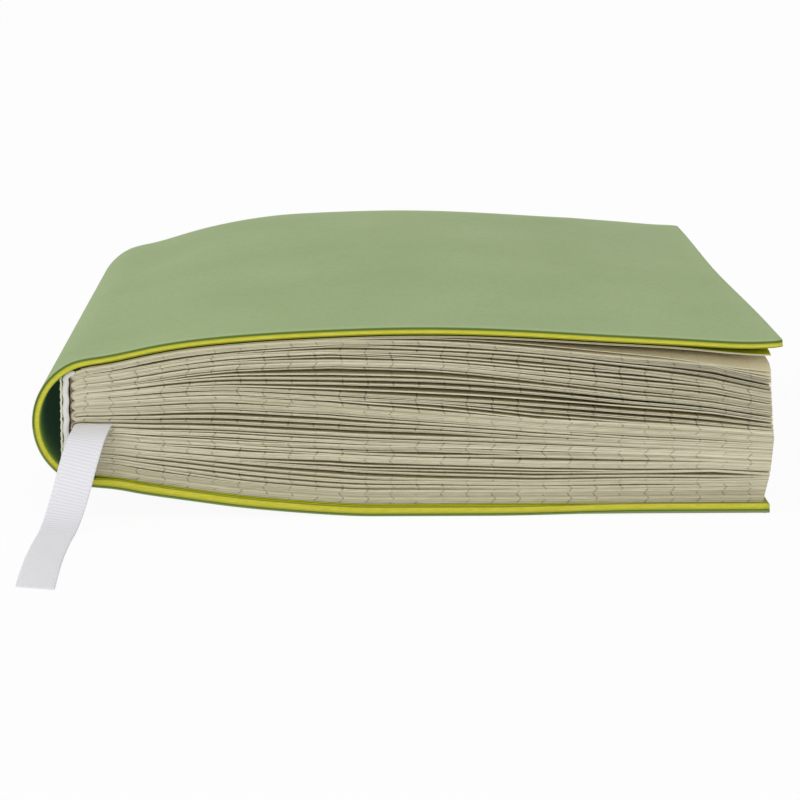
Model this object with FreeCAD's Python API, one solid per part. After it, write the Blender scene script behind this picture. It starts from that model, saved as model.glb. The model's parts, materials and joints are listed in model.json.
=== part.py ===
import FreeCAD, Part
import math
import os
from FreeCAD import Vector

# A sewn notebook in a soft cut-edge cover, lying closed on its back cover. Sizes are in millimetres.
# +X runs from the spine to the fore-edge, +Y from the tail to the head and +Z up.
# The origin is the middle of the closed book's footprint, at the face that it rests on.

# Cover: one laminated sheet that wraps the block, cut flush on all its edges.
# Its width is that of the closed book, from the back of the spine to the front panel's fore-edge.
cover_width = 146.8
cover_height = 210.0
crown_height = 37.65
back_setback = 2.4
cover_corner_radius = 2.0
skin = 0.45
core = 0.74
lining = 0.25
# The film that holds one layer to the next, here and on the block's spine.
bond = 0.03

# Spine: the cover bends round it in one arc and stands off the block.
spine_radius = 13.0
spine_centre_z = 19.0
spine_hollow = 4.3
front_hinge_angle = 116.5
back_hinge_angle = 253.0

# Front panel's outer line, in shares of its width and of its rise from the hinge to the crown.
front_shape = ((0.045, 0.21), (0.115, 0.49), (0.215, 0.76), (0.35, 0.93), (0.48, 1.0), (0.62, 0.935),
               (0.76, 0.77), (0.88, 0.635), (0.96, 0.565), (1.0, 0.6))
front_edge_slope = 0.06
# The back panel comes down to the table over this length, then lies flat.
back_sweep = 58.0
back_shape = ((0.11, 0.865), (0.19, 0.74), (0.355, 0.515), (0.515, 0.315), (0.68, 0.165), (0.86, 0.045))

# Hinges: the pivot stands off the cover's outer face, and the panels' ends stay apart.
hinge_standoff = 0.15
hinge_end_gap = 0.2

# Endpapers: a pastedown inside each panel, and a flyleaf on each side of the block.
endpaper = 0.15
pastedown_inset = 1.5
pastedown_start = 3.0
flyleaf_clearance = 0.3
flyleaf_droop = 0.6
flyleaf_droop_length = 26.0
flyleaf_start = 2.0
leaf_gap = 0.08

# Block: signatures of folded leaves, arched because the pages stand apart in the middle.
# The cover stands out past the pages at the head, the tail and the fore-edge.
end_square = 3.0
fore_edge_square = 2.3
fold_roundness = 0.96
signature_count = 10
# How far the fore-edge stands out or back at shares of the block's height, from the bottom.
fore_edge_shape = ((0.0, -2.2), (0.2, -0.6), (0.42, 0.4), (0.7, 0.1), (1.0, 0.0))
# Openings between pages: share of the height, start and end as shares of the width, widest gap.
page_gaps = ((0.1, 0.04, 0.62, 0.45), (0.2, 0.03, 0.74, 0.6), (0.3, 0.05, 0.86, 0.7),
             (0.4, 0.03, 0.7, 0.9), (0.56, 0.1, 0.93, 0.9), (0.62, 0.03, 0.88, 1.0),
             (0.71, 0.03, 0.9, 0.8), (0.8, 0.03, 0.8, 0.9), (0.9, 0.03, 0.66, 0.6))
# Openings that reach the fore-edge: share of the height, start as a share of the width, gap there.
open_gaps = ((0.76, 0.5, 1.0), (0.87, 0.46, 1.1), (0.955, 0.42, 1.0))

# Spine of the block, from the folds outwards.
glue = 0.3
mull = 0.15
mull_height = 176.0
band_flange = 0.25
band_flange_height = 12.0
band_bead_diameter = 1.1
band_overhang = 0.4
liner = 0.3
liner_end_inset = 0.4
liner_ramp = 6.0
stitch_stations = 5
stitch_spacing = 38.0
stitch_width = 0.8
stitch_reach = 7.5
thread = 0.15
spine_piece_clearance = 0.1

# Ribbon marker, led between the pages from the head and out at the tail.
ribbon_width = 7.2
ribbon_thickness = 0.3
ribbon_slot_clearance = 0.05
ribbon_height = 18.3
ribbon_gutter = 0.9
ribbon_head_inset = 1.0
# Its free end: steps to the side and outwards from where it leaves the pages, and height over the table.
ribbon_steps = ((-0.6, -6.1, 18.1), (-2.0, -10.6, 14.0), (-4.2, -11.9, 4.6), (-5.3, -16.6, 0.45),
                (-5.8, -28.5, 0.2), (-6.5, -50.5, 0.2), (-6.7, -69.5, 0.2))

core_depth = skin + bond
lining_depth = core_depth + core + bond
cover_thickness = lining_depth + lining
pastedown_depth = cover_thickness + bond
panel_depth = pastedown_depth + endpaper + flyleaf_clearance
spine_centre_x = spine_radius - cover_width / 2
front_edge_x = cover_width / 2
back_edge_x = front_edge_x - back_setback
page_height = cover_height - 2 * end_square
page_edge_x = front_edge_x - fore_edge_square
fold_back_x = -cover_width / 2 + cover_thickness + spine_hollow + liner + band_bead_diameter + 3 * bond + glue
ribbon_x = fold_back_x + ribbon_gutter + ribbon_width / 2
ribbon_exit = Vector(ribbon_x, -page_height / 2, ribbon_height)
ribbon_route = [ribbon_exit] + [Vector(ribbon_x + aside, ribbon_exit.y + outward, height)
                                for aside, outward, height in ribbon_steps]

# Points along a layer's line and along a gap's. They crowd towards the spine, where the lines bend most.
line_points = 9
gap_points = 5
crowding = 1.4
# How far a piece that cuts or trims another goes past it.
cutter_reach = 1.0


def polar(radius, angle):
    """A point round the spine's centre, at an angle in degrees from +X."""
    turn = math.radians(angle)
    return Vector(spine_centre_x + radius * math.cos(turn), 0, spine_centre_z + radius * math.sin(turn))


def front_line():
    """Outer line of the front panel, from its hinge to the fore-edge, going on from the spine's arc."""
    hinge = polar(spine_radius, front_hinge_angle)
    width = front_edge_x - hinge.x
    rise = crown_height - hinge.z
    points = [Vector(hinge.x + share * width, 0, hinge.z + height * rise) for share, height in front_shape]
    turn = math.radians(front_hinge_angle)
    curve = Part.BSplineCurve()
    curve.interpolate(Points=[hinge] + points, InitialTangent=Vector(math.sin(turn), 0, -math.cos(turn)),
                      FinalTangent=Vector(1, 0, front_edge_slope))
    return curve


def back_line():
    """Outer line of the back panel's sweep, from its hinge to where it lies flat."""
    hinge = polar(spine_radius, back_hinge_angle)
    points = [Vector(hinge.x + share * back_sweep, 0, hinge.z * height) for share, height in back_shape]
    flat = Vector(hinge.x + back_sweep, 0, 0)
    turn = math.radians(back_hinge_angle)
    curve = Part.BSplineCurve()
    curve.interpolate(Points=[hinge] + points + [flat], FinalTangent=Vector(1, 0, 0),
                      InitialTangent=Vector(-math.sin(turn), 0, math.cos(turn)))
    return curve


def line_inside(curve, depth, side):
    """Points that run `depth` beside a line, on its left (side 1) or its right (side -1)."""
    first = curve.FirstParameter
    points = []
    for index in range(line_points):
        share = (index / (line_points - 1)) ** crowding
        parameter = first + (curve.LastParameter - first) * share
        tangent = curve.tangent(parameter)[0]
        points.append(curve.value(parameter) + Vector(-tangent.z, 0, tangent.x) * side * depth)
    return points


def across_book(runs, low, high):
    """A closed section carried along the book's height from low to high.

    A run of two points makes a line, one of three an arc, and a longer one a smooth curve.
    """
    edges = []
    for points in runs:
        if len(points) == 2:
            edges.append(Part.LineSegment(*points).toShape())
        elif len(points) == 3:
            edges.append(Part.Arc(*points).toShape())
        else:
            curve = Part.BSplineCurve()
            curve.interpolate(points)
            edges.append(curve.toShape())
    section = Part.Face(Part.Wire(edges))
    section.translate(Vector(0, low, 0))
    return section.extrude(Vector(0, high - low, 0))


def band_runs(outer, inner):
    """Section between two lines that are given by their points in the same direction."""
    return [outer, [outer[-1], inner[-1]], inner[::-1], [inner[0], outer[0]]]


def trimmed_layer(runs, left, fore_edge, edge_inset):
    """A panel's layer from `left` to its fore-edge, cut flush all round, with its fore-edge corners rounded."""
    tall = crown_height + spine_radius
    right = fore_edge - edge_inset
    height = cover_height - 2 * edge_inset
    block = Part.makeBox(right - left, height, 2 * tall, Vector(left, -height / 2, -tall))
    corners = [edge for edge in block.Edges
               if abs(edge.Vertexes[0].X - right) < 1e-6 and abs(edge.Vertexes[1].X - right) < 1e-6
               and edge.Length > tall]
    layer = across_book(runs, -height / 2 - cutter_reach, height / 2 + cutter_reach)
    return layer.common(block.makeFillet(cover_corner_radius, corners)).Solids[0]


def front_layer(near, far, left=-cover_width, edge_inset=0.0):
    """A layer of the front panel between two depths under its outer face."""
    curve = front_line()
    runs = band_runs(line_inside(curve, near, -1), line_inside(curve, far, -1))
    return trimmed_layer(runs, left, front_edge_x, edge_inset)


def back_layer(near, far, left=-cover_width, edge_inset=0.0):
    """A layer of the back panel: the sweep from its hinge, then the flat part."""
    curve = back_line()
    reach = back_edge_x + cutter_reach
    outer = line_inside(curve, near, 1)
    inner = line_inside(curve, far, 1)
    outer[-1].z = near
    inner[-1].z = far
    corners = [outer[-1], Vector(reach, 0, near), Vector(reach, 0, far), inner[-1]]
    runs = [outer] + [list(pair) for pair in zip(corners, corners[1:])] + [inner[::-1], [inner[0], outer[0]]]
    return trimmed_layer(runs, left, back_edge_x, edge_inset)


def spine_layer(near, far):
    """A layer of the spine between two depths under its outer arc, clear of both panels' ends."""
    gap = math.degrees(hinge_end_gap / spine_radius)
    first = front_hinge_angle + gap
    last = back_hinge_angle - gap
    outer, inner = ([polar(spine_radius - depth, angle) for angle in (first, (first + last) / 2, last)]
                    for depth in (near, far))
    return across_book(band_runs(outer, inner), -cover_height / 2, cover_height / 2)


def height_at(points, x):
    """Height of a line through points that run towards +X, at x."""
    for left, right in zip(points, points[1:]):
        if left.x <= x <= right.x:
            return left.z + (right.z - left.z) * (x - left.x) / (right.x - left.x)
    return points[0].z if x < points[0].x else points[-1].z


def droop(x):
    """How far the top leaves hang away from the cover near the fore-edge."""
    past = max(0.0, x - (page_edge_x - flyleaf_droop_length)) / flyleaf_droop_length
    return flyleaf_droop * past ** 2


def block_lines():
    """Heights of the block's bottom and top at stations from the folds' grooves to the fore-edge."""
    depth = panel_depth + endpaper + leaf_gap
    top = line_inside(front_line(), depth, -1)
    bottom = line_inside(back_line(), depth, 1)
    bottom.append(Vector(page_edge_x, 0, depth))
    fold = (height_at(top, fold_back_x) - height_at(bottom, fold_back_x)) / signature_count
    start = fold_back_x + fold_roundness * fold / 2
    stations = [start + (page_edge_x - start) * index / 48 for index in range(49)]
    return [(x, height_at(bottom, x), height_at(top, x) - droop(x)) for x in stations]


def leaf_line(lines, share, first=0.0, last=1.0, count=line_points):
    """Points of the line at a share of the block's height, from the first to the last share of its width."""
    start = lines[0][0]
    width = lines[-1][0] - start
    bottom = [Vector(x, 0, low) for x, low, high in lines]
    top = [Vector(x, 0, high) for x, low, high in lines]
    points = []
    for index in range(count):
        x = start + width * (first + (last - first) * (index / (count - 1)) ** crowding)
        low = height_at(bottom, x)
        points.append(Vector(x, 0, low + (height_at(top, x) - low) * share))
    return points


def block_runs(lines):
    """The block's outline: arched top and bottom, an uneven fore-edge, and round folds at the spine."""
    low, high = lines[-1][1], lines[-1][2]
    fore_edge = [Vector(page_edge_x + step, 0, low + (high - low) * share) for share, step in fore_edge_shape]
    bottom = leaf_line(lines, 0.0, 0.0, bottom_share(lines))
    fore_edge[0] = bottom[-1]
    valleys = [leaf_line(lines, number / signature_count)[0] for number in range(signature_count + 1)]
    folds = [[lower, Vector(fold_back_x, 0, (lower.z + upper.z) / 2), upper]
             for lower, upper in zip(valleys, valleys[1:])]
    return [bottom, fore_edge, leaf_line(lines, 1.0)[::-1]] + [fold[::-1] for fold in folds[::-1]]


def bottom_share(lines):
    """Share of the block's width that its lowest leaf reaches."""
    return 1.0 + fore_edge_shape[0][1] / (lines[-1][0] - lines[0][0])


def lens(lines, share, first, last, widest):
    """An opening between two pages, widest in its middle and closed at both ends."""
    line = leaf_line(lines, share, first, last, gap_points)
    lifts = [Vector(0, 0, widest / 2 * math.sin(math.pi * index / (gap_points - 1)))
             for index in range(gap_points)]
    lifts[-1] = Vector()
    upper = [point + lift for point, lift in zip(line, lifts)]
    lower = [point - lift for point, lift in zip(line, lifts)]
    return [upper, lower[::-1]]


def wedge(lines, share, first, mouth):
    """An opening between two pages that gets wider up to the fore-edge and past it."""
    line = leaf_line(lines, share, first, 1.0, gap_points)
    line.append(line[-1] * 2 - line[-2])
    lifts = [Vector(0, 0, mouth / 2 * index / (gap_points - 1)) for index in range(gap_points + 1)]
    upper = [point + lift for point, lift in zip(line, lifts)]
    lower = [point - lift for point, lift in zip(line, lifts)]
    return [upper, [upper[-1], lower[-1]], lower[::-1]]


def ribbon_runs(clearance):
    """The flat section of the ribbon between the pages, with a clearance round it."""
    wide = ribbon_width / 2 + clearance
    thick = ribbon_thickness / 2 + clearance
    corners = [Vector(ribbon_x + side * wide, 0, ribbon_height + face * thick)
               for side, face in ((-1, -1), (1, -1), (1, 1), (-1, 1), (-1, -1))]
    return [list(pair) for pair in zip(corners, corners[1:])]


def text_block():
    """All the leaves as one solid, with the openings between their packs and the ribbon's slot."""
    lines = block_lines()
    half = page_height / 2
    block = across_book(block_runs(lines), -half, half)
    sections = [lens(lines, *gap) for gap in page_gaps] + [wedge(lines, *gap) for gap in open_gaps]
    openings = [across_book(runs, -half - cutter_reach, half + cutter_reach) for runs in sections]
    slot = across_book(ribbon_runs(ribbon_slot_clearance), -half - cutter_reach, half - ribbon_head_inset)
    return block.cut(openings + [slot]).Solids[0]


def flyleaf(top):
    """The loose half of an endpaper, lying on the block's top or under its bottom."""
    lines = block_lines()
    side, share, last = (1, 1.0, 1.0) if top else (-1, 0.0, bottom_share(lines))
    line = leaf_line(lines, share, flyleaf_start / (page_edge_x - lines[0][0]), last)
    curve = Part.BSplineCurve()
    curve.interpolate([point + Vector(0, -page_height / 2, side * leaf_gap) for point in line])
    face = curve.toShape().extrude(Vector(0, page_height, 0))
    return face.extrude(Vector(0, 0, side * endpaper)).Solids[0]


def inside_spine(shape):
    """Trims a piece on the block's spine to the round space inside the cover."""
    space = Part.makeCylinder(spine_radius - cover_thickness - spine_piece_clearance, cover_height,
                              Vector(spine_centre_x, -cover_height / 2, spine_centre_z), Vector(0, 1, 0))
    return shape.common(space).Solids[0]


def spine_strip(outer, inner, height):
    """A strip down the block's spine between two distances from the folds, from the lowest groove to the highest."""
    low, high = block_lines()[0][1:]
    return Part.makeBox(outer - inner, height, high - low, Vector(fold_back_x - outer, -height / 2, low))


def sewing_thread(clearance=0.0):
    """The chain of stitches across the folds' backs at each sewing station, with a clearance round it."""
    low = spine_centre_z - stitch_reach - clearance
    chains = []
    for station in range(stitch_stations):
        middle = (station - (stitch_stations - 1) / 2) * stitch_spacing
        wide = stitch_width + 2 * clearance
        chains.append(Part.makeBox(thread + clearance, wide, 2 * (stitch_reach + clearance),
                                   Vector(fold_back_x - bond - thread - clearance, middle - wide / 2, low)))
    return Part.makeCompound(chains)


def spine_glue():
    """Glue over the folds' backs, with room for the stitches that it covers."""
    coat = inside_spine(spine_strip(glue, bond, page_height))
    return coat.cut(sewing_thread(bond)).Solids[0]


def spine_mull():
    return inside_spine(spine_strip(glue + mull, glue + bond, mull_height))


def spine_band(end):
    """A woven band across the spine: a rolled bead at the page edge and a glued flange; end 1 head, -1 tail."""
    tall = 2 * spine_radius
    bottom = spine_centre_z - spine_radius
    against = fold_back_x - glue - bond
    bead_radius = band_bead_diameter / 2
    bead_y = page_height / 2 + band_overhang - bead_radius
    flange_height = bead_y - page_height / 2 + band_flange_height
    bead = Part.makeCylinder(bead_radius, 2 * tall,
                             Vector(against - bead_radius, end * bead_y, bottom - tall / 2))
    flange_y = min(end * bead_y, end * (bead_y - flange_height))
    flange = Part.makeBox(band_flange, flange_height, 2 * tall,
                          Vector(against - band_flange, flange_y, bottom - tall / 2))
    return inside_spine(bead.fuse(flange).removeSplitter())


def spine_liner():
    """Crepe paper over the mull, which steps out over the bands at both ends."""
    bottom = -spine_radius
    half = page_height / 2 - liner_end_inset
    near_x = fold_back_x - glue - band_flange - 2 * bond
    end_x = fold_back_x - glue - band_bead_diameter - 2 * bond
    plan = [Vector(end_x, -half, bottom), Vector(near_x, -half + liner_ramp, bottom),
            Vector(near_x, half - liner_ramp, bottom), Vector(end_x, half, bottom)]
    loop = plan + [point - Vector(liner, 0, 0) for point in plan[::-1]]
    return inside_spine(Part.Face(Part.makePolygon(loop + loop[:1])).extrude(Vector(0, 0, 4 * spine_radius)))


def ribbon_inner_run():
    """The ribbon between the pages, from the head down to the tail edge."""
    return across_book(ribbon_runs(0), -page_height / 2, page_height / 2 - ribbon_head_inset)


def ribbon_path():
    """Straight runs joined by tangent arcs along the ribbon's route, with each arc's radius."""
    edges = []
    radii = []
    start = ribbon_route[0]
    for before, corner, after in zip(ribbon_route, ribbon_route[1:], ribbon_route[2:]):
        incoming = (corner - before).normalize()
        outgoing = (after - corner).normalize()
        setback = 0.45 * min((corner - before).Length, (after - corner).Length)
        half_turn = incoming.getAngle(outgoing) / 2
        radius = setback / math.tan(half_turn)
        inward = (outgoing - incoming).normalize()
        enter = corner - incoming * setback
        leave = corner + outgoing * setback
        edges.append(Part.LineSegment(start, enter).toShape())
        middle = corner + inward * radius * (1 / math.cos(half_turn) - 1)
        edges.append(Part.Arc(enter, middle, leave).toShape())
        radii.append(radius)
        start = leave
    edges.append(Part.LineSegment(start, ribbon_route[-1]).toShape())
    return Part.Wire(edges), radii


def ribbon():
    """The free end of the ribbon, which hangs over the cover's edge and lies on the table."""
    path, radii = ribbon_path()
    section = Part.makePolygon([Vector(ribbon_x + side * ribbon_width / 2, ribbon_exit.y,
                                       ribbon_height + face * ribbon_thickness / 2)
                                for side, face in ((-1, -1), (1, -1), (1, 1), (-1, 1), (-1, -1))])
    sweep = Part.BRepOffsetAPI.MakePipeShell(path)
    sweep.setBiNormalMode(Vector(1, 0, 0))
    sweep.add(section)
    sweep.build()
    sweep.makeSolid()
    solid = sweep.shape()
    print("ribbon: length %.1f, volume %.1f of %.1f, arc radii %s"
          % (path.Length, solid.Volume, ribbon_width * ribbon_thickness * path.Length,
             ", ".join("%.1f" % radius for radius in radii)))
    return solid


def build():
    """Every sub-part by its name."""
    parts = {
        "text_block": text_block(),
        "front_flyleaf": flyleaf(True),
        "back_flyleaf": flyleaf(False),
        "sewing_thread": sewing_thread(),
        "spine_glue": spine_glue(),
        "spine_mull": spine_mull(),
        "spine_liner": spine_liner(),
        "head_band": spine_band(1),
        "tail_band": spine_band(-1),
        "ribbon_inner_run": ribbon_inner_run(),
        "ribbon": ribbon(),
        "spine_skin": spine_layer(0, skin),
        "spine_core": spine_layer(core_depth, core_depth + core),
        "spine_lining": spine_layer(lining_depth, cover_thickness),
    }
    panels = (("front", front_layer, front_hinge_angle), ("back", back_layer, back_hinge_angle))
    for side, layer, angle in panels:
        parts[side + "_skin"] = layer(0, skin)
        parts[side + "_core"] = layer(core_depth, core_depth + core)
        parts[side + "_lining"] = layer(lining_depth, cover_thickness)
        parts[side + "_pastedown"] = layer(pastedown_depth, pastedown_depth + endpaper,
                                           polar(spine_radius, angle).x + pastedown_start, pastedown_inset)
    return parts


os.makedirs("parts", exist_ok=True)
for name, shape in build().items():
    shape.exportStep("parts/" + name + ".step")
    box = shape.optimalBoundingBox()
    print("%-18s solids %d, X %.2f..%.2f, Y %.2f..%.2f, Z %.2f..%.2f, valid %s"
          % (name, len(shape.Solids), box.XMin, box.XMax, box.YMin, box.YMax, box.ZMin, box.ZMax,
             shape.isValid()))
for name, angle in (("front", front_hinge_angle), ("back", back_hinge_angle)):
    pivot = polar(spine_radius + hinge_standoff, angle)
    print("%s hinge: pivot X %.3f, Z %.3f" % (name, pivot.x, pivot.z))
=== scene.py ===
# %% [markdown]
# # A leather-covered notebook lying on a table
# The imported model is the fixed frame, and every piece below is made in its axes, in millimetres. The
# spine is on the left, the tail of the book faces the camera, and the front cover is on top.

# %% The frame
import json
import math
import bmesh
import bpy
import numpy as np
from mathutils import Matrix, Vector

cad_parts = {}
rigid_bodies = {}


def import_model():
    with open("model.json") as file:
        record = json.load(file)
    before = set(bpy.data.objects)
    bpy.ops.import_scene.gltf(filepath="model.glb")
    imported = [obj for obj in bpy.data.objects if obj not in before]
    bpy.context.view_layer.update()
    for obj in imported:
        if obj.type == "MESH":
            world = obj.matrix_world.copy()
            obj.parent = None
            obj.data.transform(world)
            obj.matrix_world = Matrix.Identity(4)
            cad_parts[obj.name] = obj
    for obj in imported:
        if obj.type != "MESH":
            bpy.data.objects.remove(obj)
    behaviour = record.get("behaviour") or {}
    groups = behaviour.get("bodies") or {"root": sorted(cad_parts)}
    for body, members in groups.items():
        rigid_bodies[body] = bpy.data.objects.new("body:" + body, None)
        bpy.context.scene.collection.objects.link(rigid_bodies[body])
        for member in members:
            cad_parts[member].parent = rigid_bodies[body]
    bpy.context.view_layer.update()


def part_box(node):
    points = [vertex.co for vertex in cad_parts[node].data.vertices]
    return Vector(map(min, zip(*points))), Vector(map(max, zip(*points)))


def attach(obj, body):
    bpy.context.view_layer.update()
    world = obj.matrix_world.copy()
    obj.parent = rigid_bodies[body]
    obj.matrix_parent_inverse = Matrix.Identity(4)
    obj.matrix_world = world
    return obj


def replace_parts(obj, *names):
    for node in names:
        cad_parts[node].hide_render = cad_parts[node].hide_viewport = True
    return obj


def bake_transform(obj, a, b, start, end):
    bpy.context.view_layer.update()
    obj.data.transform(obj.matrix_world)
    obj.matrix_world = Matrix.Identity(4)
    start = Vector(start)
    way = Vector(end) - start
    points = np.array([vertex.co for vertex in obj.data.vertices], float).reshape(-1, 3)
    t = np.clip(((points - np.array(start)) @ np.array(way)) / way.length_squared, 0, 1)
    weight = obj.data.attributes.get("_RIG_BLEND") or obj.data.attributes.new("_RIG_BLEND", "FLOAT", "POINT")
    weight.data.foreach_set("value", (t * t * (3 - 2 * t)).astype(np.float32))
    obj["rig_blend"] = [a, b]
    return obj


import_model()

MM = 0.001

# %% [markdown]
# ## The camera
# The book is seen from its tail, a little above the table, with a long lens from most of a metre away,
# so the covers' curves show nearly as a drawing of the section.

# %% Camera
lens = bpy.data.cameras.new("camera")
lens.lens = 157.1
lens.sensor_width = 36.0
lens.clip_start = 0.01
camera = bpy.data.objects.new("camera", lens)
bpy.context.scene.collection.objects.link(camera)
camera.location = (-0.0162, -0.7796, 0.1343)
camera.rotation_euler = (math.radians(80.655), 0.0, math.radians(-1.26))
bpy.context.scene.camera = camera
bpy.context.scene.view_settings.view_transform = "Standard"
print("camera at", tuple(camera.location))

# %% [markdown]
# ## The ribbon marker's line
# A woven ribbon comes out between two signatures at the tail, drops to the table and runs straight out.
# A curve with a bevel would give it a round or a boxed section. Here a smooth spline gives only its line,
# because a line can be measured, and a thin woven strip is laid along it further down.

# %% The ribbon's line
ribbon_width, ribbon_thickness = 7.2, 0.3
ribbon_exit = np.array((-61.31, -102.0, 18.3))
# how far each control point is aside of the exit and out from it, and its height over the table
ribbon_steps = ((-0.6, -6.1, 18.1), (-2.1, -11.0, 14.0), (-4.4, -13.2, 5.2), (-5.9, -19.0, 0.8),
                (-6.8, -30.0, 0.2), (-7.0, -50.5, 0.2), (-6.5, -69.5, 0.2))
ribbon_points = [ribbon_exit] + [np.array((ribbon_exit[0] + aside, ribbon_exit[1] + outward, height))
                                 for aside, outward, height in ribbon_steps]


def spline_points(name, points, resolution=24):
    """The points of a smooth line, read from a NURBS spline with these control points, in millimetres."""
    curve = bpy.data.curves.new(name, "CURVE")
    curve.dimensions = "3D"
    curve.resolution_u = resolution
    line = curve.splines.new("NURBS")
    line.points.add(len(points) - 1)
    for point, place in zip(line.points, points):
        point.co = (*(np.array(place) * MM), 1.0)
    line.order_u = 3
    line.use_endpoint_u = True
    holder = bpy.data.objects.new(name, curve)
    bpy.context.scene.collection.objects.link(holder)
    bpy.context.view_layer.update()
    mesh = bpy.data.meshes.new_from_object(holder.evaluated_get(bpy.context.evaluated_depsgraph_get()))
    places = np.array([vertex.co for vertex in mesh.vertices]) / MM
    bpy.data.objects.remove(holder)
    bpy.data.meshes.remove(mesh)
    return places


ribbon_line = spline_points("ribbon_line", ribbon_points)
print("ribbon line", len(ribbon_line), "points,",
      round(float(np.linalg.norm(np.diff(ribbon_line, axis=0), axis=1).sum()), 1), "mm")

# %% [markdown]
# ## How a finish is written
# Every surface gets its colour, grain and bump from nodes. Long lists of nodes and links are hard to
# read, so one class wraps a socket and turns ordinary sums on a pattern into Math nodes, one adds any
# other node to a tree, and one holds a material.

# %% Sums on a pattern
class Amount:
    """An output of a node. Signs between it and numbers or other outputs add Math nodes."""

    def __init__(self, nodes, socket):
        self.nodes, self.socket = nodes, socket

    def maths(self, operation, first, second=0.0, clamp=False):
        return self.nodes.add("ShaderNodeMath", {"operation": operation, "use_clamp": clamp},
                              {0: first, 1: second})

    def __add__(self, other):
        return self.maths("ADD", self, other)

    def __sub__(self, other):
        return self.maths("SUBTRACT", self, other)

    def __mul__(self, other):
        return self.maths("MULTIPLY", self, other)

    def __truediv__(self, other):
        return self.maths("DIVIDE", self, other)

    def __rsub__(self, other):
        return self.maths("SUBTRACT", other, self)

    def __rtruediv__(self, other):
        return self.maths("DIVIDE", other, self)

    __radd__, __rmul__ = __add__, __mul__

    def clamped(self):
        return self.maths("ADD", self, 0.0, clamp=True)

    def size(self):
        return self.maths("ABSOLUTE", self)

    def fraction(self):
        return self.maths("FRACT", self)


class Nodes:
    """A tree of shader nodes, and one way to add a node to it."""

    def __init__(self, tree):
        self.tree = tree

    def add(self, kind, settings=None, sockets=None, output=0):
        node = self.tree.nodes.new(kind)
        for key, value in (settings or {}).items():
            setattr(node, key, value)
        for key, value in (sockets or {}).items():
            if isinstance(value, Amount):
                self.tree.links.new(value.socket, node.inputs[key])
            else:
                node.inputs[key].default_value = value
        return Amount(self, node.outputs[output])

    def seen_directly(self):
        """1 where the camera, a gloss or a glass looks, and 0 for the light that falls on things."""
        rays = self.tree.nodes.new("ShaderNodeLightPath")
        camera_ray, glossy_ray, glass_ray = (Amount(self, rays.outputs["Is %s Ray" % kind])
                                             for kind in ("Camera", "Glossy", "Transmission"))
        return (camera_ray + glossy_ray + glass_ray).clamped()


print("sums turn into Math nodes")

# %% A finish
def paint(red, green, blue):
    """A colour written from 0 to 255, as the linear numbers that a shader takes."""
    shares = [value / 255 for value in (red, green, blue)]
    return tuple(c / 12.92 if c <= 0.04045 else ((c + 0.055) / 1.055) ** 2.4 for c in shares) + (1.0,)


class Finish(Nodes):
    """One material: its nodes, and its shader's sockets."""

    def __init__(self, name, colour, roughness, **sockets):
        self.material = bpy.data.materials.new(name)
        self.material.use_nodes = True
        super().__init__(self.material.node_tree)
        self.shader = self.tree.nodes["Principled BSDF"]
        self.shader.inputs["Base Color"].default_value = colour
        self.shader.inputs["Roughness"].default_value = roughness
        for socket, value in sockets.items():
            self.shader.inputs[socket.replace("_", " ")].default_value = value

    def place(self, scale=(1.0, 1.0, 1.0)):
        """The point's own place in the frame, in millimetres times scale."""
        where = self.add("ShaderNodeTexCoord", output="Object")
        return self.add("ShaderNodeMapping", sockets={"Vector": where, "Scale": [s / MM for s in scale]})

    def noise(self, scale=(1.0, 1.0, 1.0), detail=2.0, where=None):
        return self.add("ShaderNodeTexNoise", sockets={"Vector": where or self.place(scale), "Scale": 1.0,
                                                       "Detail": detail})

    def attribute(self, name):
        return self.add("ShaderNodeAttribute", {"attribute_name": name}, output="Fac")

    def mixed(self, share, first, second):
        """The first colour, turning to the second as share goes from 0 to 1."""
        return self.add("ShaderNodeMix", {"data_type": "RGBA"}, {0: share, 6: first, 7: second}, output=2)

    def feed(self, socket, amount):
        self.tree.links.new(amount.socket, self.shader.inputs[socket])

    def bump(self, height, depth, strength=1.0):
        """Relief of that depth in millimetres where height goes from 0 to 1."""
        self.feed("Normal", self.add("ShaderNodeBump", sockets={"Height": height, "Distance": depth * MM,
                                                                "Strength": strength}, output="Normal"))


print("finishes are ready")

# %% [markdown]
# ## Points into pieces
# A book's layers lie within a few hundredths of a millimetre of each other. Sculpting each by hand would
# make them cross, so each piece is worked out as points, in millimetres, and every point goes through
# one gentle warp. The book has settled towards its head, and the warp takes all its layers along.

# %% The book's sizes
cover_width, cover_height, crown_height, spine_radius = 146.8, 210.0, 37.65, 13.0
fore_edge, back_fore_edge, cover_half = cover_width / 2, 71.0, cover_height / 2
# how far the head end has sunk at the spine's shoulder and the fore edge, and what stays up beside that
shoulder_sink, fore_sink, fore_swell = 3.1, 1.2, 0.45
# how far the fore edge is pushed out low down and all over, and its upper part bowed in at mid height
low_push, fore_push, edge_bow = 0.5, 0.4, 0.95
print("the closed book is", cover_width, "x", cover_height, "x", crown_height, "mm")

# %% A settled piece
def ease(share):
    """A share from 0 to 1 that leaves and arrives gently."""
    share = np.clip(share, 0.0, 1.0)
    return share * share * (3 - 2 * share)


def settled(points):
    """The points after the book has settled: its head end sunk, and its fore edge pushed out and bowed."""
    points = np.array(points, float)
    x, y, z = points.T  # these are views, so each line below starts from the one before
    high = np.clip(z / crown_height, 0, 1)
    points[:, 0] += low_push * ease((x - 20) / 50) * np.clip(1 - z / 34, 0, 1) + fore_push * ease((x - 40) / 33)
    points[:, 0] -= edge_bow * ease(1 - np.abs(y - 8) / 85) * ease((x - 40) / 33) * high**2
    fore_drop = (fore_sink * ease((x - 45) / 28) - fore_swell * ease(1 - np.abs(x - 64) / 14)) * high
    drop = (shoulder_sink * ease((-22 - x) / 50) + fore_drop) * np.clip(y / cover_height + 0.5, 0, 1)
    points[:, 2] -= drop
    return points


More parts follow.
